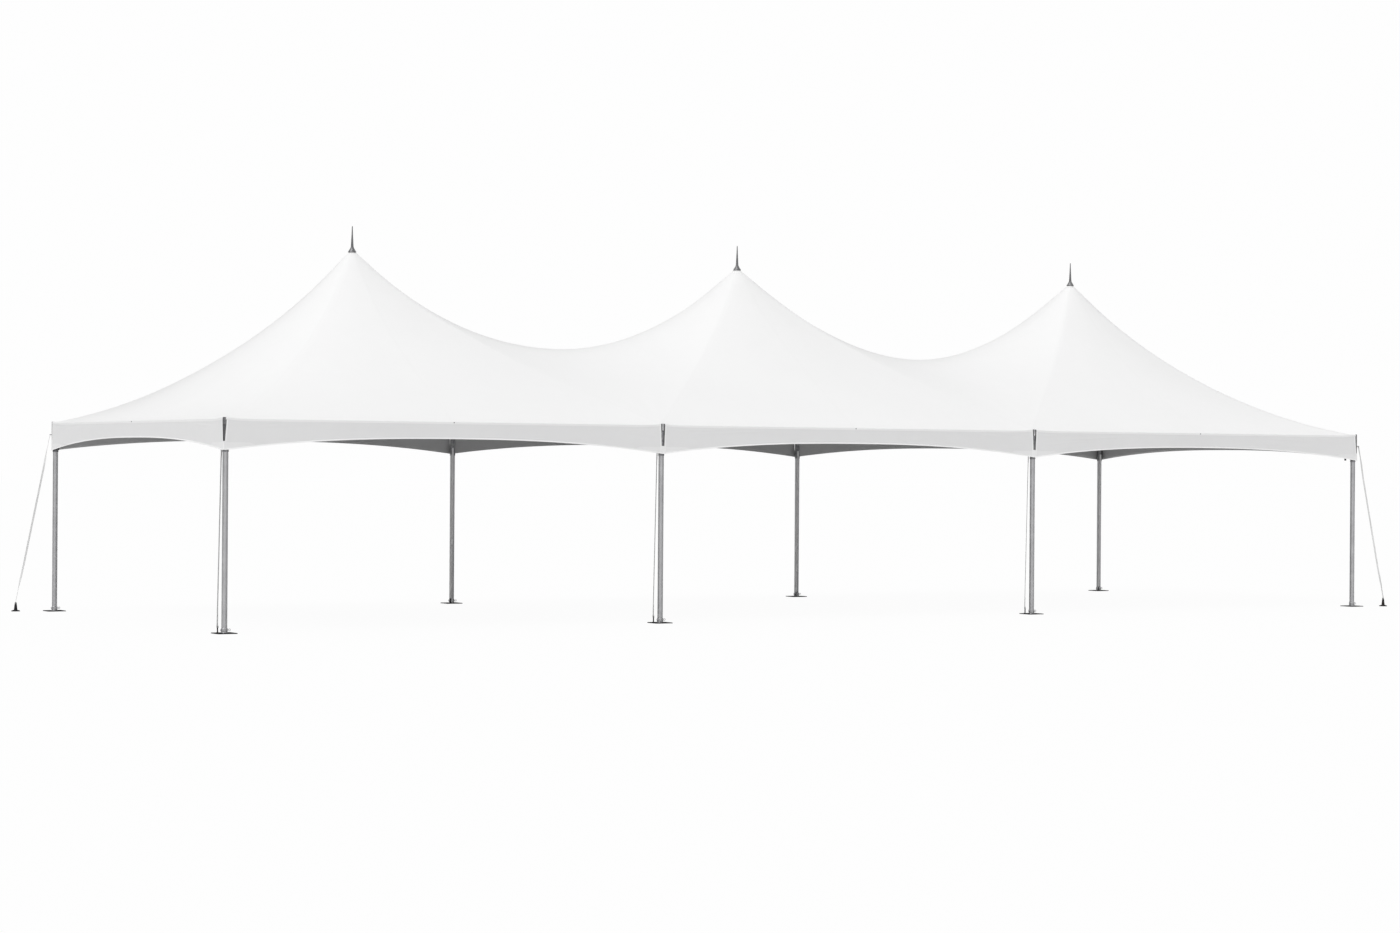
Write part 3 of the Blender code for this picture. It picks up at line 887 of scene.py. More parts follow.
def segment(lines, left, right):
    # the grid lines between two legs, from slot edge to slot edge, out to the corner at the ends
    slot = roofCloth["slotHalf"]
    start = left + slot if left > lines[1] + 0.001 else lines[0]
    stop = right - slot if right < lines[-2] - 0.001 else lines[-1]
    return lines[(lines > start - 0.0005) & (lines < stop + 0.0005)]


def borderEdges(piece, peak, reach):
    # the open edges round a peak
    spots = [vertex.co for vertex in piece.data.vertices]
    uses = {}
    for face in piece.data.polygons:
        if abs(face.center.x - peak) < reach + 0.2 and abs(face.center.y) < reach + 0.2:
            for key in face.edge_keys:
                uses[key] = uses.get(key, 0) + 1
    for edge in piece.data.edges:
        first, second = spots[edge.vertices[0]], spots[edge.vertices[1]]
        if max(abs(first.x - peak), abs(first.y), abs(second.x - peak), abs(second.y)) < reach:
            if uses.get(edge.key, 0) < 2:
                yield edge


roofVinyl = makeVinyl("roofVinyl", (0.90, 0.90, 0.90), (0.885, 0.885, 0.885), makeRoofSeams)
# the inner face of the cloth is given a mid grey as painted shade, standing in for the shade under the roof
shadedLiningVinyl = makeVinyl("shadedLiningVinyl", (0.41, 0.41, 0.412), (0.38, 0.38, 0.382), makeRoofSeams)
makeRoof(roofVinyl, shadedLiningVinyl)
print("roof cloth made")


# Valances

valance = {
    "legDepth": 0.385,
    "middleDepth": 0.223,
    "archPower": 2.4,
    "start": 0.002,  # the cloth begins this far under the fold of the roof
    "slot": (0.032, 0.021),  # half the width of a slot at the eave and at its foot
    "cornerSlot": (0.041, 0.018),
    "slotDepth": 0.283,
    "under": 0.0016,  # the valance hangs this far inside the flap of the roof
    "hem": 0.017,
    "hemAllowance": 0.02,
    "hemStep": 0.0012,
    "hemKick": 0.0050,  # the stiff hem stands out at its foot
    "edgeBand": 0.020,
    "bandLift": 0.0013,
    "patchReach": 0.40,  # the doubled cloth beside each leg
    "patchSlant": 0.07,
    "patchDepth": 0.292,
    "patchLift": 0.0011,
    "lap": (0.004, 0.014),  # how far the lap under a slot reaches past the left and right side of its foot
    "lapLift": (0.0028, -0.0014),  # how far it stands out there
    # the wrap of a corner: its reach either way, its bend, how far it stands out and runs up the slot
    "corner": {"reach": 0.040, "bend": 0.010, "lift": 0.0014, "over": 0.006},
    "thickness": 0.0012,
    "cellsAlong": 120,
    "rows": 34,
    "phase": {"front": 0.4, "back": 2.6, "left": 4.4, "right": 5.7},
    # waves of the hanging cloth: size, radians in a metre, and how far the phase of a side moves them
    "waves": [(0.0026, 4.1, 1.0), (0.0014, 10.3, 2.1), (0.0007, 27, 0.7)],
    "waveReach": 0.3,  # beside the legs the waves die down
    "flare": 0.0012,  # the foot hangs this far outside the eave
    # pulled folds beside each leg: from and to, away from the leg, the drops at both ends, and the rise
    "folds": [
        (0.05, 1.15, 0.075, 0.018, 0.0028),
        (0.30, 1.60, 0.120, 0.050, 0.0020),
        (0.08, 0.75, 0.200, 0.130, 0.0014),
        (0.70, 2.60, 0.045, 0.030, 0.0022),
    ],
    "foldWidth": 0.012,
    "foldDrops": (0.030, 0.055),  # none under the flap, which lies close on the cloth
}


def archDepth(place, legs):
    low, high = valance["legDepth"], valance["middleDepth"]
    depth = np.full(np.shape(place), low)
    for left, right in zip(legs, legs[1:]):
        inBay = (place >= left) & (place <= right)
        fromMiddle = np.abs(2 * (place - left) / (right - left) - 1)
        depth = np.where(inBay, high + (low - high) * fromMiddle ** valance["archPower"], depth)
    return depth


def foldRise(place, drop, legs, phase):
    # thin pulled folds that run from the legs up to the eave, each pair a little different
    rise = 0.0
    first, whole = valance["foldDrops"]
    belowFlap = np.clip((drop - first) / (whole - first), 0, 1)
    for number, leg in enumerate(legs):
        for way in (-1, 1):
            aside = way * (place - leg)
            for step, (start, stop, near, far, size) in enumerate(valance["folds"]):
                chance = math.sin(3 * phase + 5 * number + 2 * way + 7 * step)
                stretch = 1 + 0.3 * chance
                part = np.clip((aside / stretch - start) / (stop - start), 0, 1)
                middle = near + (far - near) * part + 0.012 * chance
                fade = np.sin(math.pi * part) ** 0.7
                away = (drop - middle) / valance["foldWidth"]
                rise = rise + size * stretch * fade * np.exp(-(away**2))
    return rise * belowFlap


def hangOut(place, drop, legs, phase):
    # how far out from the leg line the cloth hangs, a drop under the eave: it sways more towards its foot
    sway = np.clip(drop / valance["legDepth"], 0, 1.2)
    free = np.clip(nearLeg(place, legs) / valance["waveReach"], 0, 1) ** 1.5
    waves = sum(size * np.sin(place * turns + shift * phase) for size, turns, shift in valance["waves"])
    hang = clothOut - valance["under"] + free * waves * sway**1.3 + valance["flare"] * sway
    return hang + foldRise(place, drop, legs, phase)


def slotHalf(height, slot):
    part = np.clip((clothTop - height) / valance["slotDepth"], 0, 1)
    return slot[0] + (slot[1] - slot[0]) * part


def hemRows(top, depth, count):
    # drops below the eave of the rows of a strip, and how far each stands out: the last ones are the hem
    hemTop = depth - valance["hem"]
    drops = [top + (hemTop - top) * part for part in np.linspace(0, 1, count)]
    drops += [hemTop + 0.0010, depth - 0.0012, depth]
    steps = [0.0] * count + [valance["hemStep"], valance["hemKick"], valance["hemKick"]]
    return np.array(drops), np.array(steps)


def hangPart(name, outward, columns, rows, spot, kind):
    # kind is the number of its material, or gives it for each row of faces
    part = clothGrid(name, columns, rows, spot)
    for face in part.data.polygons:
        face.material_index = kind(face.index // (columns - 1)) if callable(kind) else kind
    faceTowards(part, outward)
    return part


def hangPanel(name, side, left, right, legs, edges, phase):
    # one bay of a valance, from slot to slot
    columns = valance["cellsAlong"] + 1
    share = np.linspace(0, 1, columns)

    def placeAt(drop, column):
        height = clothTop - drop
        leftEdge = left + slotHalf(height, edges[0])
        rightEdge = right - slotHalf(height, edges[1])
        return leftEdge + (rightEdge - leftEdge) * share[column]

    middle = placeAt(0.2, np.arange(columns))
    top = clothTop - eaveLevel(middle, legs) + bendAt(middle, legs) + valance["start"]
    drops, steps = hemRows(top, archDepth(middle, legs), valance["rows"])

    def spot(column, row):
        drop = drops[row, column]
        place = placeAt(drop, column)
        return onSide(side, place, hangOut(place, drop, legs, phase) + steps[row], clothTop - drop)

    def kind(row):
        return 1 if row >= valance["rows"] - 1 else 0

    return hangPart(name, outwardOf(side), columns, len(drops), spot, kind)


def legPatch(name, side, start, way, legs, phase):
    # the doubled cloth over the foot of a slot: level on top, slanted at its far end, hemmed with the rest
    columns, rows = 25, 8
    reach = valance["patchReach"] * np.linspace(0, 1, columns)

    def spot(column, row):
        away = reach[column]
        place = start + way * away
        foot = archDepth(place, legs) - valance["hem"] - 0.0004
        slant = np.clip((away - valance["patchReach"] + valance["patchSlant"]) / valance["patchSlant"], 0, 1)
        top = valance["patchDepth"] + (foot - valance["patchDepth"]) * slant * 0.999
        drop = top + (foot - top) * (row / (rows - 1))
        out = hangOut(place, drop, legs, phase) + valance["patchLift"]
        return onSide(side, place, out, clothTop - drop)

    return hangPart(name, outwardOf(side), columns, rows, spot, 2)


def onSide(side, place, out, height):
    # a spot given along a side and out from its leg line, in the tent's own axes
    if side in sides:
        return place, sides[side] * (halfWidth + out), height
    return (halfLength + out) * (1 if side == "right" else -1), place, height


def outwardOf(side):
    spot = onSide(side, 0, 0, 0)
    return (0, spot[1], 0) if side in sides else (spot[0], 0, 0)


def hangStrip(name, side, leftEdge, rightEdge, top, legs, phase, lift):
    # a narrow strip on the face of a valance: leftEdge and rightEdge give its sides at each height,
    # lift how far it stands out at either side
    foot = (leftEdge(valanceFoot) + rightEdge(valanceFoot)) / 2
    drops, steps = hemRows(top, float(archDepth(foot, legs)), 20)
    columns = 5

    def spot(column, row):
        drop = drops[row]
        height = clothTop - drop
        share = column / (columns - 1)
        leftPlace, rightPlace = leftEdge(height), rightEdge(height)
        place = leftPlace + (rightPlace - leftPlace) * share
        rise = lift[0] + (lift[1] - lift[0]) * share
        out = hangOut(place, drop, legs, phase) + steps[row] + rise
        return onSide(side, place, out, height)

    return hangPart(name, outwardOf(side), columns, len(drops), spot, 1)


def cornerWrap(name, end, way):
    # the piece of cloth that closes a corner below its slot, bent round from one side to the other
    corner = valance["corner"]
    reach, bend = corner["reach"], corner["bend"]
    edge = clothOut - valance["under"] + corner["lift"]
    flats = [(edge - bend - step, edge) for step in np.linspace(reach - bend, 0.004, 4)]
    turns = np.linspace(0, math.pi / 2, 7)
    rounds = [(edge - bend + bend * math.sin(turn), edge - bend + bend * math.cos(turn)) for turn in turns]
    path = np.array(flats + rounds + [(y, x) for x, y in reversed(flats)])
    depth = valance["legDepth"]
    drops, steps = hemRows(valance["slotDepth"] - corner["over"], depth, 7)

    def spot(column, row):
        out = path[column] + valance["flare"] * (drops[row] / depth)[:, None]
        size = np.hypot(*out.T)[:, None]
        out = out + out / size * steps[row][:, None]
        return end * (halfLength + out[:, 0]), way * (halfWidth + out[:, 1]), clothTop - drops[row]

    return hangPart(name, (end, way, 0), len(path), len(drops), spot, 2)


def makeValance(side, cloth, hem, doubled, lining):
    alongX = side in sides
    legs = legX if alongX else [-halfWidth, halfWidth]
    cornerOut = clothOut - valance["under"]
    phase = valance["phase"][side]
    foldFoot = roofCloth["foldLeg"] + roofCloth["sit"] - roofCloth["legRise"]
    bandTop = foldFoot + valance["start"] + roofCloth["flap"]
    bandLift = (valance["bandLift"], valance["bandLift"])
    parts = []
    for left, right in zip(legs, legs[1:]):
        ends = [valance["slot"], valance["slot"]]
        leftSide, rightSide = left, right
        if left == legs[0]:
            leftSide, ends[0] = left - cornerOut, valance["cornerSlot"]
        if right == legs[-1]:
            rightSide, ends[1] = right + cornerOut, valance["cornerSlot"]
        parts.append(hangPanel("panel", side, leftSide, rightSide, legs, ends, phase))
        for start, slot, way in ((leftSide, ends[0], 1), (rightSide, ends[1], -1)):
            near = lambda height: start + way * slotHalf(height, slot)
            far = lambda height: start + way * (slotHalf(height, slot) + valance["edgeBand"])
            parts.append(hangStrip("band", side, near, far, bandTop, legs, phase, bandLift))
            parts.append(legPatch("legPatch", side, start + way * slot[1], way, legs, phase))
    lapTop = valance["slotDepth"] - 0.004
    for leg in legs[1:-1]:
        left = lambda height: leg - valance["slot"][1] - valance["lap"][0]
        right = lambda height: leg + valance["slot"][1] + valance["lap"][1]
        parts.append(hangStrip("patch", side, left, right, lapTop, legs, phase, valance["lapLift"]))
    if alongX:
        parts += [cornerWrap("corner", end, sides[side]) for end in (-1, 1)]
    for part in parts:  # joining forgets which faces are hem where a part has no materials yet
        for material in (cloth, hem, doubled, lining, lining, lining):
            part.data.materials.append(material)
    whole = joined("valance" + side.capitalize(), parts)
    thicken(whole, valance["thickness"], 3)
    finishPiece(whole, "valance_vinyl", "valance_" + side)


# the single valance cloth is painted darker than the roof as painted shade, for the dark inside that would
# show through it; the hem, bands, laps and doubled patches are painted lighter, with less of that painted
# shade
valanceShadedVinyl = makeVinyl("valanceShadedVinyl", (0.825, 0.825, 0.828), (0.80, 0.80, 0.803))
hemVinyl = makeVinyl("hemVinyl", (0.93, 0.93, 0.93), (0.91, 0.91, 0.91))
doubledVinyl = makeVinyl("doubledVinyl", (0.87, 0.87, 0.872), (0.85, 0.85, 0.852))
for side in ("front", "back", "left", "right"):
    makeValance(side, valanceShadedVinyl, hemVinyl, doubledVinyl, shadedLiningVinyl)
print("valances hung")


# Legs

leg = {
    "radius": 0.035,
    "collarRadius": 0.041,
    "collarHeight": 0.055,
    "top": 2.19,
    "button": 2.135,
    "pinHeight": 0.044,
    "pinRadius": 0.0042,
    "pinOut": 0.010,  # how far the pin stands out of the collar
    "ringSpot": 0.066,
    "ringRadius": 0.0125,
}


def makeLegs(tube, zinc):
    foot = plateTop + gap
    radius, collar, high = leg["radius"], leg["collarRadius"], leg["collarHeight"]
    shaft = [(radius, foot + 0.02), (radius, leg["top"])]
    cup = [
        (collar - 0.002, foot),
        (collar, foot + 0.002),
        (collar, foot + high - 0.003),
        (collar - 0.0025, foot + high),
        (radius + 0.0002, foot + high + 0.0035),
    ]
    pin, thick, out = leg["pinHeight"], leg["pinRadius"], leg["pinOut"]
    long = 2 * collar + out + 0.008
    rod = [(thick, 0), (thick, long - 0.002), (thick - 0.001, long)]
    parts = [
        turned("shaft", shaft, tube, 48),
        turned("cup", cup, tube, 48),
        ring("bead", collar + 0.0015, 0.0034, (0, 0, foot + 0.0022), (0, 0, 1), zinc, 48),
        turned("button", dome(0.0055, 0.004), zinc, 16, (radius - 0.001, 0, leg["button"]), (1, 0, 0)),
        turned("pin", rod, zinc, 16, (-collar - out, 0, pin), (1, 0, 0)),
        turned("pinHead", dome(0.0095, 0.006), zinc, 20, (-collar - 0.004, 0, pin), (-1, 0, 0)),
        ring("pinRing", leg["ringRadius"], 0.0032, (leg["ringSpot"], 0, pin), (0, 1, 0), zinc, 28),
    ]
    atLegs(joined("legMaster", parts), "leg", "aluminium_tube")


# Base plates

plate = {"corner": 0.02, "rim": 0.0012, "holeRadius": 0.011, "holeSpot": 0.099, "holeDeep": 0.04}


def makePlates(steel):
    thick = plateTop - plateLow.z
    side = plateHigh.x - plateLow.x
    size = (side, side, thick)
    master = slab("plateMaster", size, (0, 0, thick / 2), steel, plate["corner"], plate["rim"], 6)
    hole = [(plate["holeRadius"], 0), (plate["holeRadius"], plate["holeDeep"])]
    for x in (-1, 1):
        for y in (-1, 1):
            spot = (x * plate["holeSpot"], y * plate["holeSpot"], -0.01)
            cutWith(master, turned("hole", hole, steel, 24, spot))
    done(master, None, steel)
    atLegs(master, "base_plate", "plate_steel", math.pi / 2)


# Bolts are made once and set where they are needed

def makeBolt(name, head, washer, zinc):
    parts = [
        turned("washer", [(washer, 0), (washer, 0.0012), (washer - 0.0008, 0.002)], zinc, 24),
        turned("head", [(head, 0.0018), (head, 0.0066), (head * 0.86, 0.0078)], zinc, 6),
    ]
    return joined(name, parts)


def setBolt(bolt, place, towards):
    twin = copyOf(bolt, "bolt")
    turn = Vector(towards).to_track_quat("Z", "Y").to_matrix().to_4x4()
    twin.data.transform(Matrix.Translation(place) @ turn)
    return twin


# Eave fittings

fitting = {
    "radius": 0.0385,
    "stub": 0.17,
    "rimWide": 0.0272,
    "gusset": (0.09, 0.006, 0.085),
    "gussetSpot": 0.078,
    "gussetSlant": 0.072,
    "stubBolts": (0.130, 0.145),
    "eyeHeight": 2.52,
    "eyeReach": 0.069,
    "eyeRadius": 0.0105,
    "eyeBar": 0.0042,
    "strapBar": 0.0048,
    "strapBarLength": 0.038,
    "strapTop": (-0.026, 0.063),
    "strapHeight": 2.30,
    "cornerStrapHeight": 2.43,
    "cornerStrapReach": 0.0555,
    "bracketHigh": 0.090,
    "bracketWide": 0.058,
    "bracketTop": 2.611,
    "bar": (0.024, 0.003),
    "angleArm": 0.0355,
    "angleOut": 0.0422,  # from the axis of a corner leg to the outer faces of its angle
    "angleFoot": 2.297,
    "angleBar": (0.015, 0.0022),
}


def makeSleeve(zinc):
    radius = fitting["radius"]
    profile = [
        (radius - 0.003, sleeveFoot),
        (radius - 0.0005, sleeveFoot + 0.0012),
        (radius + 0.0012, sleeveFoot + 0.004),
        (radius + 0.0012, sleeveFoot + 0.016),
        (radius, sleeveFoot + 0.019),
        (radius, sleeveTop - 0.003),
        (radius - 0.003, sleeveTop),
    ]
    return turned("sleeve", profile, zinc, 48)


def makeStub(zinc, bolt):
    # the socket of one eave tube, along +X, with the gusset under it
    length = fitting["stub"]
    wide = fitting["rimWide"]
    profile = [
        (tubeRadius, 0.025),
        (tubeRadius, length - 0.012),
        (wide, length - 0.010),
        (wide, length - 0.001),
        (tubeRadius - 0.0006, length),
    ]
    weldSpot = (fitting["radius"] + 0.0008, 0, tubeHeight)
    low = tubeHeight - tubeRadius
    gussetSpot = (fitting["gussetSpot"], 0, low - 0.0405)
    parts = [
        turned("socket", profile, zinc, 40, (0, 0, tubeHeight), (1, 0, 0)),
        ring("weld", tubeRadius + 0.002, 0.0035, weldSpot, (1, 0, 0), zinc, 40),
        slab("gusset", fitting["gusset"], gussetSpot, zinc, 0, 0.001),
    ]
    choose(parts[-1], "VERT", lambda vertex: vertex.co.z < low - 0.06 and vertex.co.x > 0.07)
    bpy.ops.transform.translate(value=(-fitting["gussetSlant"], 0, 0))
    bpy.ops.object.mode_set(mode="OBJECT")
    parts += [setBolt(bolt, (reach, 0, low), (0, 0, -1)) for reach in fitting["stubBolts"]]
    return joined("stub", parts)


def makeEye(zinc):
    # the welded eye for a cable, along +X
    height, reach = fitting["eyeHeight"], fitting["eyeReach"]
    shank = [(0.0095, 0.034), (0.008, 0.038), (0.0072, reach - fitting["eyeRadius"] + 0.001)]
    parts = [
        turned("shank", shank, zinc, 24, (0, 0, height), (1, 0, 0)),
        ring("eye", fitting["eyeRadius"], fitting["eyeBar"], (reach, 0, height), (0, 1, 0), zinc, 28, 10),
    ]
    return joined("eye", parts)


def crossBar(middle, across, material):
    # the short level bar that a strap runs round
    long = fitting["strapBarLength"]
    profile = roundBar(fitting["strapBar"], 0, long, 0.0012)
    return turned("cross", profile, material, 16, middle - across * (long / 2), across)


def makeStrapBar(end, zinc):
    # the rod that carries a guy strap, from the sleeve to a cross bar at its end
    away = Vector((end.x, end.y, 0))
    across = Vector((-away.y, away.x, 0)).normalized()
    rod = [(fitting["strapBar"], fitting["radius"] - 0.004), (fitting["strapBar"], away.length)]
    return joined("bar", [turned("rod", rod, zinc, 16, (0, 0, end.z), away), crossBar(end, across, zinc)])


def makeBracket(zinc, light, dark):
    # the plate that closes the head of a slot, facing -Y, with a bright bar and two rivets
    out, thick = fitting["radius"] + 0.0020, 0.004
    high, wide = fitting["bracketHigh"], fitting["bracketWide"]
    middle = fitting["bracketTop"] - high / 2
    barSpot = (-0.001, -out - thick / 2 - 0.0006, middle + 0.0015)
    parts = [
        slab("bracketPlate", (wide, thick, high), (0, -out, middle), zinc, 0, 0.0008),
        slab("bar", (*fitting["bar"], high), barSpot, light, 0, 0.001),
    ]
    for way in (-1, 1):
        rivetSpot = (way * wide * 0.27, -out - thick / 2, middle - high / 2 + 0.0075)
        parts.append(turned("rivet", dome(0.0062, 0.0030), dark, 16, rivetSpot, (0, -1, 0)))
    return joined("bracket", parts)


def makeAngle(painted, zinc, dark):
    # the steel angle behind the slots of a corner, towards +X and +Y, with a bar on each face
    arm, out, thick = fitting["angleArm"], fitting["angleOut"], 0.003
    foot, top = fitting["angleFoot"], fitting["bracketTop"]
    middle, high = (foot + top) / 2, top - foot
    barHigh = fitting["bracketHigh"]
    barSpot = (out - 0.0155, out + 0.0004, top - barHigh / 2)
    parts = [
        slab("angleArm", (arm, thick, high), (out - arm / 2, out - thick / 2, middle), painted, 0, 0.0006),
        slab("bar", (*fitting["angleBar"], barHigh), barSpot, zinc, 0, 0.0008),
    ]
    for reach in (0.008, 0.026):
        spot = (out - reach, out - 0.0004, top - barHigh - 0.004)
        parts.append(turned("rivet", dome(0.0050, 0.0024), dark, 16, spot, (0, 1, 0)))
    face = joined("face", parts)
    other = copyOf(face, "otherFace")
    pick(other)
    acrossX = (True, False, False)
    bpy.ops.transform.mirror(constraint_axis=acrossX, orient_type="GLOBAL", center_override=(0, 0, 0))
    bpy.ops.object.transform_apply(location=True, rotation=True, scale=True)
    other.data.transform(Matrix.Rotation(-math.pi / 2, 4, "Z"))
    edit(other, "FACE")
    bpy.ops.mesh.select_all(action="SELECT")
    bpy.ops.mesh.normals_make_consistent(inside=False)
    bpy.ops.object.mode_set(mode="OBJECT")
    return joined("angle", [face, other])


def leaning(way, index):
    # the straps at two opposite corners lean out, away from the tent
    if (way, index) in ((1, 0), (-1, len(legX) - 1)):
        return Vector((-way, way, 0))
    return None


def strapHead(way, index):
    # the middle of the bar at the head of a strap, from the ground under its leg
    lean = leaning(way, index)
    if lean:
        return lean * fitting["cornerStrapReach"] + Vector((0, 0, fitting["cornerStrapHeight"]))
    reach = Vector((fitting["strapTop"][0], -way * fitting["strapTop"][1], 0))
    return reach - reach.normalized() * strap["loop"] + Vector((0, 0, fitting["strapHeight"]))


def makeFittings(zinc, light, painted, dark, bolt):
    sleeve = makeSleeve(zinc)
    stub = makeStub(zinc, bolt)
    eye = makeEye(zinc)
    bracket = makeBracket(painted, light, dark)
    angle = makeAngle(painted, zinc, dark)
    for label, home, way, index in legSpots():
        parts = [copyOf(sleeve, "sleevePart", home)]
        first, last = index == 0, index == len(legX) - 1
        if not last:
            parts.append(copyOf(stub, "stubPart", home))
        if not first:
            parts.append(copyOf(stub, "stubPart", home, math.pi))
        if first or last:
            parts.append(copyOf(stub, "stubPart", home, -way * math.pi / 2))
            outward = math.atan2(way, -1 if first else 1)
            parts.append(copyOf(angle, "anglePart", home, outward - math.pi / 4))
        else:
            parts.append(copyOf(bracket, "bracketPart", home, 0 if way < 0 else math.pi))
        for peak in peakX:
            if abs(peak - home.x) < bay:
                parts.append(copyOf(eye, "eyePart", home, math.atan2(-home.y, peak - home.x)))
        bar = makeStrapBar(strapHead(way, index), zinc)
        bar.data.transform(Matrix.Translation(home))
        parts.append(bar)
        piece = joined("eave_fitting_%s_look" % label, parts)
        finishPiece(piece, "fitting_steel", "eave_fitting_" + label)
    for master in (sleeve, stub, eye, bracket, angle):
        bpy.data.objects.remove(master)


# Eave tubes

def makeEaveTubes(alongX, alongY, bolt):
    nodes = ["eave_tube_%s_%d" % (name, number) for name in sides for number in (1, 2, 3)]
    for node in nodes + ["eave_tube_left", "eave_tube_right"]:
        low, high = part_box(node)
        size = high - low
        lengthwise = size.x > size.y
        length = max(size.x, size.y)
        towards = Vector((1, 0, 0)) if lengthwise else Vector((0, 1, 0))
        start = (low + high) / 2 - towards * length / 2
        profile = roundBar(tubeRadius - 0.0001, 0, length, 0.0008)
        parts = [turned("tube", profile, alongX if lengthwise else alongY, 40, start, towards)]
        for reach in (0.05, length - 0.05):
            spot = start + towards * reach - Vector((0, 0, tubeRadius))
            parts.append(setBolt(bolt, spot, (0, 0, -1)))
        finishPiece(joined(node + "_look", parts), "aluminium_tube", node)


# King poles

mast = {"radius": 0.0254, "cupRadius": 0.0315, "cupHigh": 0.07, "crownRadius": 0.042, "crownLow": 4.80}


def makeMasts(tube, zinc, bolt):
    foot, top = (corner.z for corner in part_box("king_pole_1"))
    radius, cup, wide = mast["radius"], mast["cupRadius"], mast["crownRadius"]
    shaft = [(radius, foot + 0.01), (radius, top - 0.004)]
    crown = [
        (radius + 0.0045, mast["crownLow"]),
        (radius + 0.0045, top - 0.040),
        (wide - 0.003, top - 0.009),
        (wide, top - 0.007),
        (wide, top - 0.002),
        (wide - 0.002, top - 0.0004),
    ]
    parts = [
        turned("shaft", shaft, tube, 40),
        turned("cup", roundBar(cup, foot, foot + mast["cupHigh"], 0.002), zinc, 40),
        turned("crown", crown, zinc, 40),
    ]
    for way in (-1, 1):
        parts.append(setBolt(bolt, (way * (cup - 0.0004), 0, foot + 0.042), (way, 0, 0)))
    atPeaks(joined("mastMaster", parts), "king_pole", "aluminium_tube")


# Finials

finial = {
    "profile": [
        (0.0550, 0.0000),
        (0.0570, 0.0015),
        (0.0570, 0.0060),
        (0.0500, 0.0150),
        (0.0400, 0.0310),
        (0.0315, 0.0475),
        (0.0280, 0.0520),
        (0.0225, 0.0610),
        (0.0204, 0.0700),
        (0.0196, 0.0745),
        (0.0181, 0.0790),
        (0.0168, 0.1000),
        (0.0152, 0.1300),
        (0.0135, 0.1640),
        (0.0116, 0.2000),
        (0.0094, 0.2500),
        (0.0072, 0.3000),
        (0.0060, 0.3450),
        (0.0046, 0.3520),
        (0.0015, 0.3550),
    ],
    "bolts": 6,
    "boltSpot": (0.0445, 0.0235),  # out from the axis and up from the foot
    "boltTilt": (0.87, 0.5),
}


def makeFinials(metal, bolt):
    base = peakHeight + gap
    up = Vector((0, 0, 1))
    profile = [(radius, base + height) for radius, height in finial["profile"]]
    parts = [turned("spike", profile, metal, 48, smooth=50)]
    out, rise = finial["boltSpot"]
    level, steep = finial["boltTilt"]
    for number in range(finial["bolts"]):
        turn = number * 2 * math.pi / finial["bolts"]
        way = Vector((math.cos(turn), math.sin(turn), 0))
        parts.append(setBolt(bolt, way * out + up * (base + rise), way * level + up * steep))
    atPeaks(joined("finialMaster", parts), "finial", "finial_metal")


# Cable crosses

cable = {
    "radius": 0.0048,
    "hubRadius": 0.05,
    "hubLow": 2.445,
    "hubHigh": 2.50,
    "hubLevel": 2.47,
    "start": 0.0756,
    "shackle": (0.0085, 0.003, 0.006),  # radius, thickness and place
    # turned parts, each as radius and place: from the shackle on, but the last ones from the hub back
    "fork": [(0.0065, 0.013), (0.0065, 0.030), (0.0050, 0.032), (0.0050, 0.062)],
    "buckleBar": [(0.0034, 0.048), (0.0034, 0.178)],
    "buckleSpread": 0.0095,
    "buckleEnd": [(0.0130, 0), (0.0135, 0.002), (0.0135, 0.012), (0.0130, 0.014)],
    "buckleEnds": (0.046, 0.170),
    "swage": [(0.0050, 0.146), (0.0050, 0.196), (0.0080, 0.200), (0.0080, 0.256), (0.0062, 0.262)],
    "ropeEnds": (0.246, 0.05),
    "endSwage": [(0.0062, 0.12), (0.0080, 0.114), (0.0080, 0.03), (0.0070, 0)],
}


def wrapMap(piece, start, towards):
    # a UV map round a long piece: turns across, metres along
    towards = Vector(towards).normalized()
    aside = towards.orthogonal().normalized()
    other = towards.cross(aside)
    layer = piece.data.uv_layers.active or piece.data.uv_layers.new(name="wrap")
    for face in piece.data.polygons:
        spots = []
        for loop in face.loop_indices:
            away = piece.data.vertices[piece.data.loops[loop].vertex_index].co - Vector(start)
            spots.append([math.atan2(away.dot(other), away.dot(aside)) / (2 * math.pi), away.dot(towards)])
        turns = [spot[0] for spot in spots]
        for loop, spot in zip(face.loop_indices, spots):
            if max(turns) - min(turns) > 0.5 and spot[0] < 0:
                spot[0] += 1
            layer.data[loop].uv = spot


def makeCableRun(start, seat, wire, zinc):
    # one cable with its shackle, turnbuckle and swages, from the eye at a leg to the hub
    run = seat - start
    along = run.normalized()
    length = run.length
    aside = along.cross(Vector((0, 0, 1))).normalized()
    wide, thick, place = cable["shackle"]
    parts = [
        ring("shackle", wide, thick, start + along * place, (0, 0, 1), zinc, 20),
        turned("rod", cable["fork"], zinc, 16, start, along),
    ]
    for offset in (-cable["buckleSpread"], cable["buckleSpread"]):
        parts.append(turned("buckleBar", cable["buckleBar"], zinc, 12, start + aside * offset, along))
    for place in cable["buckleEnds"]:
        block = [(radius, place + further) for radius, further in cable["buckleEnd"]]
        parts.append(turned("buckleEnd", block, zinc, 16, start, along))
    parts.append(turned("swage", cable["swage"], zinc, 16, start, along))
    line = [(cable["radius"], cable["ropeEnds"][0]), (cable["radius"], length - cable["ropeEnds"][1])]
    rope = turned("rope", line, wire, 16, start, along)
    wrapMap(rope, start, along)
    end = [(radius, length - back) for radius, back in cable["endSwage"]]
    return [*parts, rope, turned("endSwage", end, zinc, 16, start, along)]


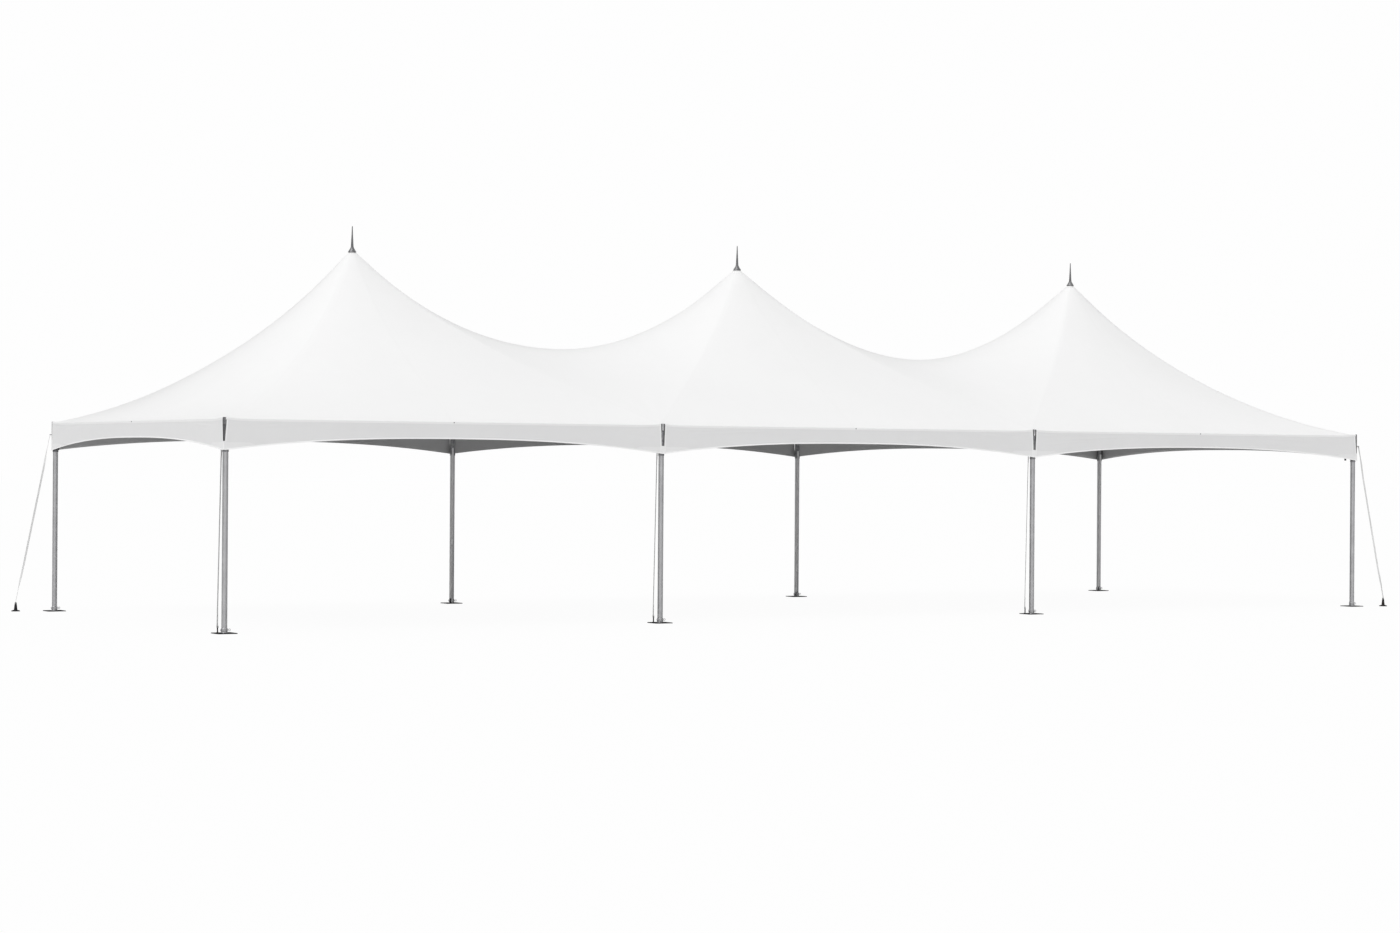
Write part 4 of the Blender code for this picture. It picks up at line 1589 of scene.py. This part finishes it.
def makeCableCross(number, x, wire, zinc, bolt):
    radius, low, high = cable["hubRadius"], cable["hubLow"], cable["hubHigh"]
    profile = [
        (radius - 0.013, low),
        (radius - 0.002, low + 0.011),
        (radius, low + 0.014),
        (radius, high - 0.003),
        (radius - 0.003, high),
    ]
    parts = [turned("hub", profile, zinc, 48, (x, 0, 0))]
    parts.append(setBolt(bolt, (x, 0, low + 0.0002), (0, 0, -1)))
    for legPlace in (x - bay / 2, x + bay / 2):
        for way in sides.values():
            corner = Vector((legPlace, way * halfWidth, fitting["eyeHeight"]))
            level = (Vector((x, 0, fitting["eyeHeight"])) - corner).normalized()
            seat = Vector((x, 0, cable["hubLevel"])) - level * (radius - 0.004)
            parts += makeCableRun(corner + level * cable["start"], seat, wire, zinc)
    piece = joined("cable_cross_%d_look" % number, parts)
    finishPiece(piece, "cable_steel", "cable_cross_%d" % number)


# Small fastenings on the cloth: buttons that hold the flap, and buckles for a wall under the ends

fastening = {
    "button": 0.0070,
    "buttonDrop": 0.014,
    "wallStrapWide": 0.024,
    "wallStrapSpot": 0.19,  # from the leg line, along the end
    "buckleFoot": 2.214,
    "buckleHigh": 0.034,
}


def makeFlapButtons(dark):
    plug = turned("plug", dome(fastening["button"], 0.006), dark, 20)
    buttons = []
    out = clothOut - 0.001
    height = clothTop - roofCloth["sit"] - fastening["buttonDrop"]
    for way in sides.values():
        for x in peakX:
            buttons.append(setBolt(plug, (x, way * (halfWidth + out), height), (0, way, 0)))
    for way in (-1, 1):
        buttons.append(setBolt(plug, (way * (halfLength + out), 0, height), (way, 0, 0)))
    bpy.data.objects.remove(plug)
    finishPiece(joined("flapButtons", buttons), "fitting_steel")


def makeWallStraps(webbing, dark):
    # a short strap from the end tube with a buckle for a side wall, near the two corners that show one
    wide = fastening["wallStrapWide"]
    foot, high = fastening["buckleFoot"], fastening["buckleHigh"]
    top = tubeHeight - 0.004
    out = tubeRadius + 0.0012
    for name, end, way in (("left", -1, 1), ("right", 1, -1)):
        x = end * (halfLength + out)
        y = way * (halfWidth - fastening["wallStrapSpot"])
        low = foot + high - 0.006
        hang = slab("wallStrap", (0.0016, wide, top - low), (x, y, (top + low) / 2), webbing, 0, 0.0004)
        loop = ring("wallLoop", out, 0.0012, (end * halfLength, y, tubeHeight), (0, 1, 0), webbing, 32, 6)
        block = slab("wallBuckle", (0.009, wide + 0.010, high), (x, y, foot + high / 2), dark, 0, 0.003)
        finishPiece(joined("wallStrap" + name.capitalize(), [hang, loop, block]), "webbing")


# Guy straps with their stakes and anchors

strap = {
    "width": 0.025,
    "thickness": 0.0022,
    "loop": 0.0066,  # from the middle of the bar to the middle of the webbing
    "throat": 0.022,  # the webbing comes together this far from a bar, and is sewn from the seam on
    "seam": 0.04,
    "tail": 0.12,
    "flatEnd": 0.17,  # a twisted strap lies flat this far from both bars, then turns over this run
    "twistRun": 0.30,
    "stakeSpot": (-0.056, 0.076),
    "stakeRadius": 0.008,
    "stakeHigh": 0.088,
    "stakeBar": 0.076,
    "anchorReach": (0.50, 0.15),
    "anchorBar": 0.107,
    "anchor": [
        (0.058, 0.0),
        (0.060, 0.002),
        (0.060, 0.008),
        (0.052, 0.0125),
        (0.030, 0.0185),
        (0.0235, 0.024),
        (0.0160, 0.092),
        (0.0135, 0.104),
        (0.0125, 0.118),
        (0.0105, 0.1235),
        (0.0060, 0.125),
    ],
}


def makeStrap(lowBar, highBar, outward, webbing, twist=0.0):
    # the webbing runs up the outer side, round both bars, and its ends are sewn back on itself;
    # twist is the angle by which it is turned between the bars
    run = highBar - lowBar
    length = run.length
    along = run.normalized()
    out = (outward - along * outward.dot(along)).normalized()
    across = along.cross(out)
    loop, thick, tail, seam = strap["loop"], strap["thickness"], strap["tail"], strap["seam"]
    inner = loop - thick - 0.0004
    sewn = [(seam + tail, inner), (seam + tail / 2, inner), (seam, inner), (strap["throat"], 0.0)]
    turns = np.linspace(-math.pi / 2, math.pi / 2, 11)
    path = sewn + [(-loop * math.cos(turn), loop * math.sin(turn)) for turn in turns]
    path += [(length * step / 30, loop) for step in range(1, 30)]
    path += [(length + loop * math.cos(turn), loop * math.sin(turn)) for turn in reversed(turns)]
    path += [(length - up, aside) for up, aside in reversed(sewn)]
    path = np.array(path)
    fromEnd = np.minimum(path[:, :1], length - path[:, :1])
    angle = twist * np.clip((fromEnd - strap["flatEnd"]) / strap["twistRun"], 0, 1)
    outs = np.cos(angle) * np.array(out) + np.sin(angle) * np.array(across)
    sideways = np.cos(angle) * np.array(across) - np.sin(angle) * np.array(out)
    places = np.array(lowBar) + path[:, :1] * np.array(along) + path[:, 1:] * outs
    columns = 5

    def spot(column, row):
        share = column / (columns - 1) - 0.5
        moved = places[row] + share[:, None] * strap["width"] * sideways[row]
        return moved[:, 0], moved[:, 1], moved[:, 2]

    band = clothGrid("webbing", columns, len(path), spot)
    steps = np.hypot(*np.diff(path, axis=0).T)
    layMap(band, columns, np.concatenate([[0], np.cumsum(steps)]))
    band.data.materials.append(webbing)
    thicken(band, thick, 0, 0)
    return band


def layMap(band, columns, alongs):
    # UV map of a strap: its width across, metres along
    layer = band.data.uv_layers.active
    for loop in band.data.loops:
        vertex = loop.vertex_index
        layer.data[loop.index].uv = ((vertex % columns) / (columns - 1), alongs[vertex // columns])


def makeGuys(webbing, steel):
    foot, radius, high = plateTop + gap, strap["stakeRadius"], strap["stakeHigh"]
    stake = [
        (0.0150, foot),
        (0.0160, foot + 0.0012),
        (0.0160, foot + 0.0040),
        (radius, foot + 0.0055),
        (radius, high - 0.003),
        (radius - 0.003, high),
    ]
    for label, home, way, index in legSpots():
        lean = leaning(way, index)
        if lean:
            outward = Vector((lean.x * strap["anchorReach"][0], lean.y * strap["anchorReach"][1], 0))
            parts = [turned("anchor", strap["anchor"], steel, 40, home + outward)]
        else:
            outward = Vector((strap["stakeSpot"][0], -way * strap["stakeSpot"][1], 0))
            parts = [turned("stake", stake, steel, 24, home + outward)]
        lowBar = home + outward + Vector((0, 0, strap["anchorBar"] if lean else strap["stakeBar"]))
        highBar = home + strapHead(way, index)
        parts.append(crossBar(lowBar, Vector((-outward.y, outward.x, 0)).normalized(), steel))
        parts.append(makeStrap(lowBar, highBar, outward, webbing, math.pi / 2 if lean else 0.0))
        piece = joined("guy_%s_look" % label, parts)
        finishPiece(piece, "webbing", "guy_" + label)


tubeUp = makeTube("legAluminium", (260, 260, 3))
tubeAlongX = makeTube("eaveAluminiumX", (3, 260, 260))
tubeAlongY = makeTube("eaveAluminiumY", (260, 3, 260))
zincCast = makeZinc("zincCasting", (0.42, 0.42, 0.43), (0.22, 0.22, 0.23))
zincLight = makeZinc("zincBright", (0.74, 0.74, 0.75), (0.56, 0.56, 0.57), 0.42)
paintedSteel = makeZinc("paintedSteel", (0.17, 0.17, 0.175), (0.10, 0.10, 0.104), 0.6, 0.2)
finialMetal = makeZinc("finialCasting", (0.27, 0.27, 0.275), (0.17, 0.17, 0.175), 0.45)
plateSteel = makePlateSteel("plateSteel")
webbing = makeWebbing("guyWebbing")
cableWire = makeCable("cableStrands")
darkPlastic = makePlastic("darkPlastic", (0.03, 0.03, 0.032))
bolt = makeBolt("boltMaster", 0.0085, 0.0105, zincLight)
smallBolt = makeBolt("smallBoltMaster", 0.0036, 0.0048, zincLight)
makeLegs(tubeUp, zincLight)
makePlates(plateSteel)
makeFittings(zincCast, zincLight, paintedSteel, darkPlastic, bolt)
makeEaveTubes(tubeAlongX, tubeAlongY, bolt)
print("legs, plates, fittings and eave tubes made")
makeMasts(tubeUp, zincCast, smallBolt)
makeFinials(finialMetal, smallBolt)
for number, x in enumerate(peakX, 1):
    makeCableCross(number, x, cableWire, zincCast, bolt)
makeFlapButtons(darkPlastic)
makeWallStraps(webbing, darkPlastic)
print("king poles, finials, cables and small fastenings made")
makeGuys(webbing, plateSteel)
for master in (bolt, smallBolt):
    bpy.data.objects.remove(master)
print("guy straps made")
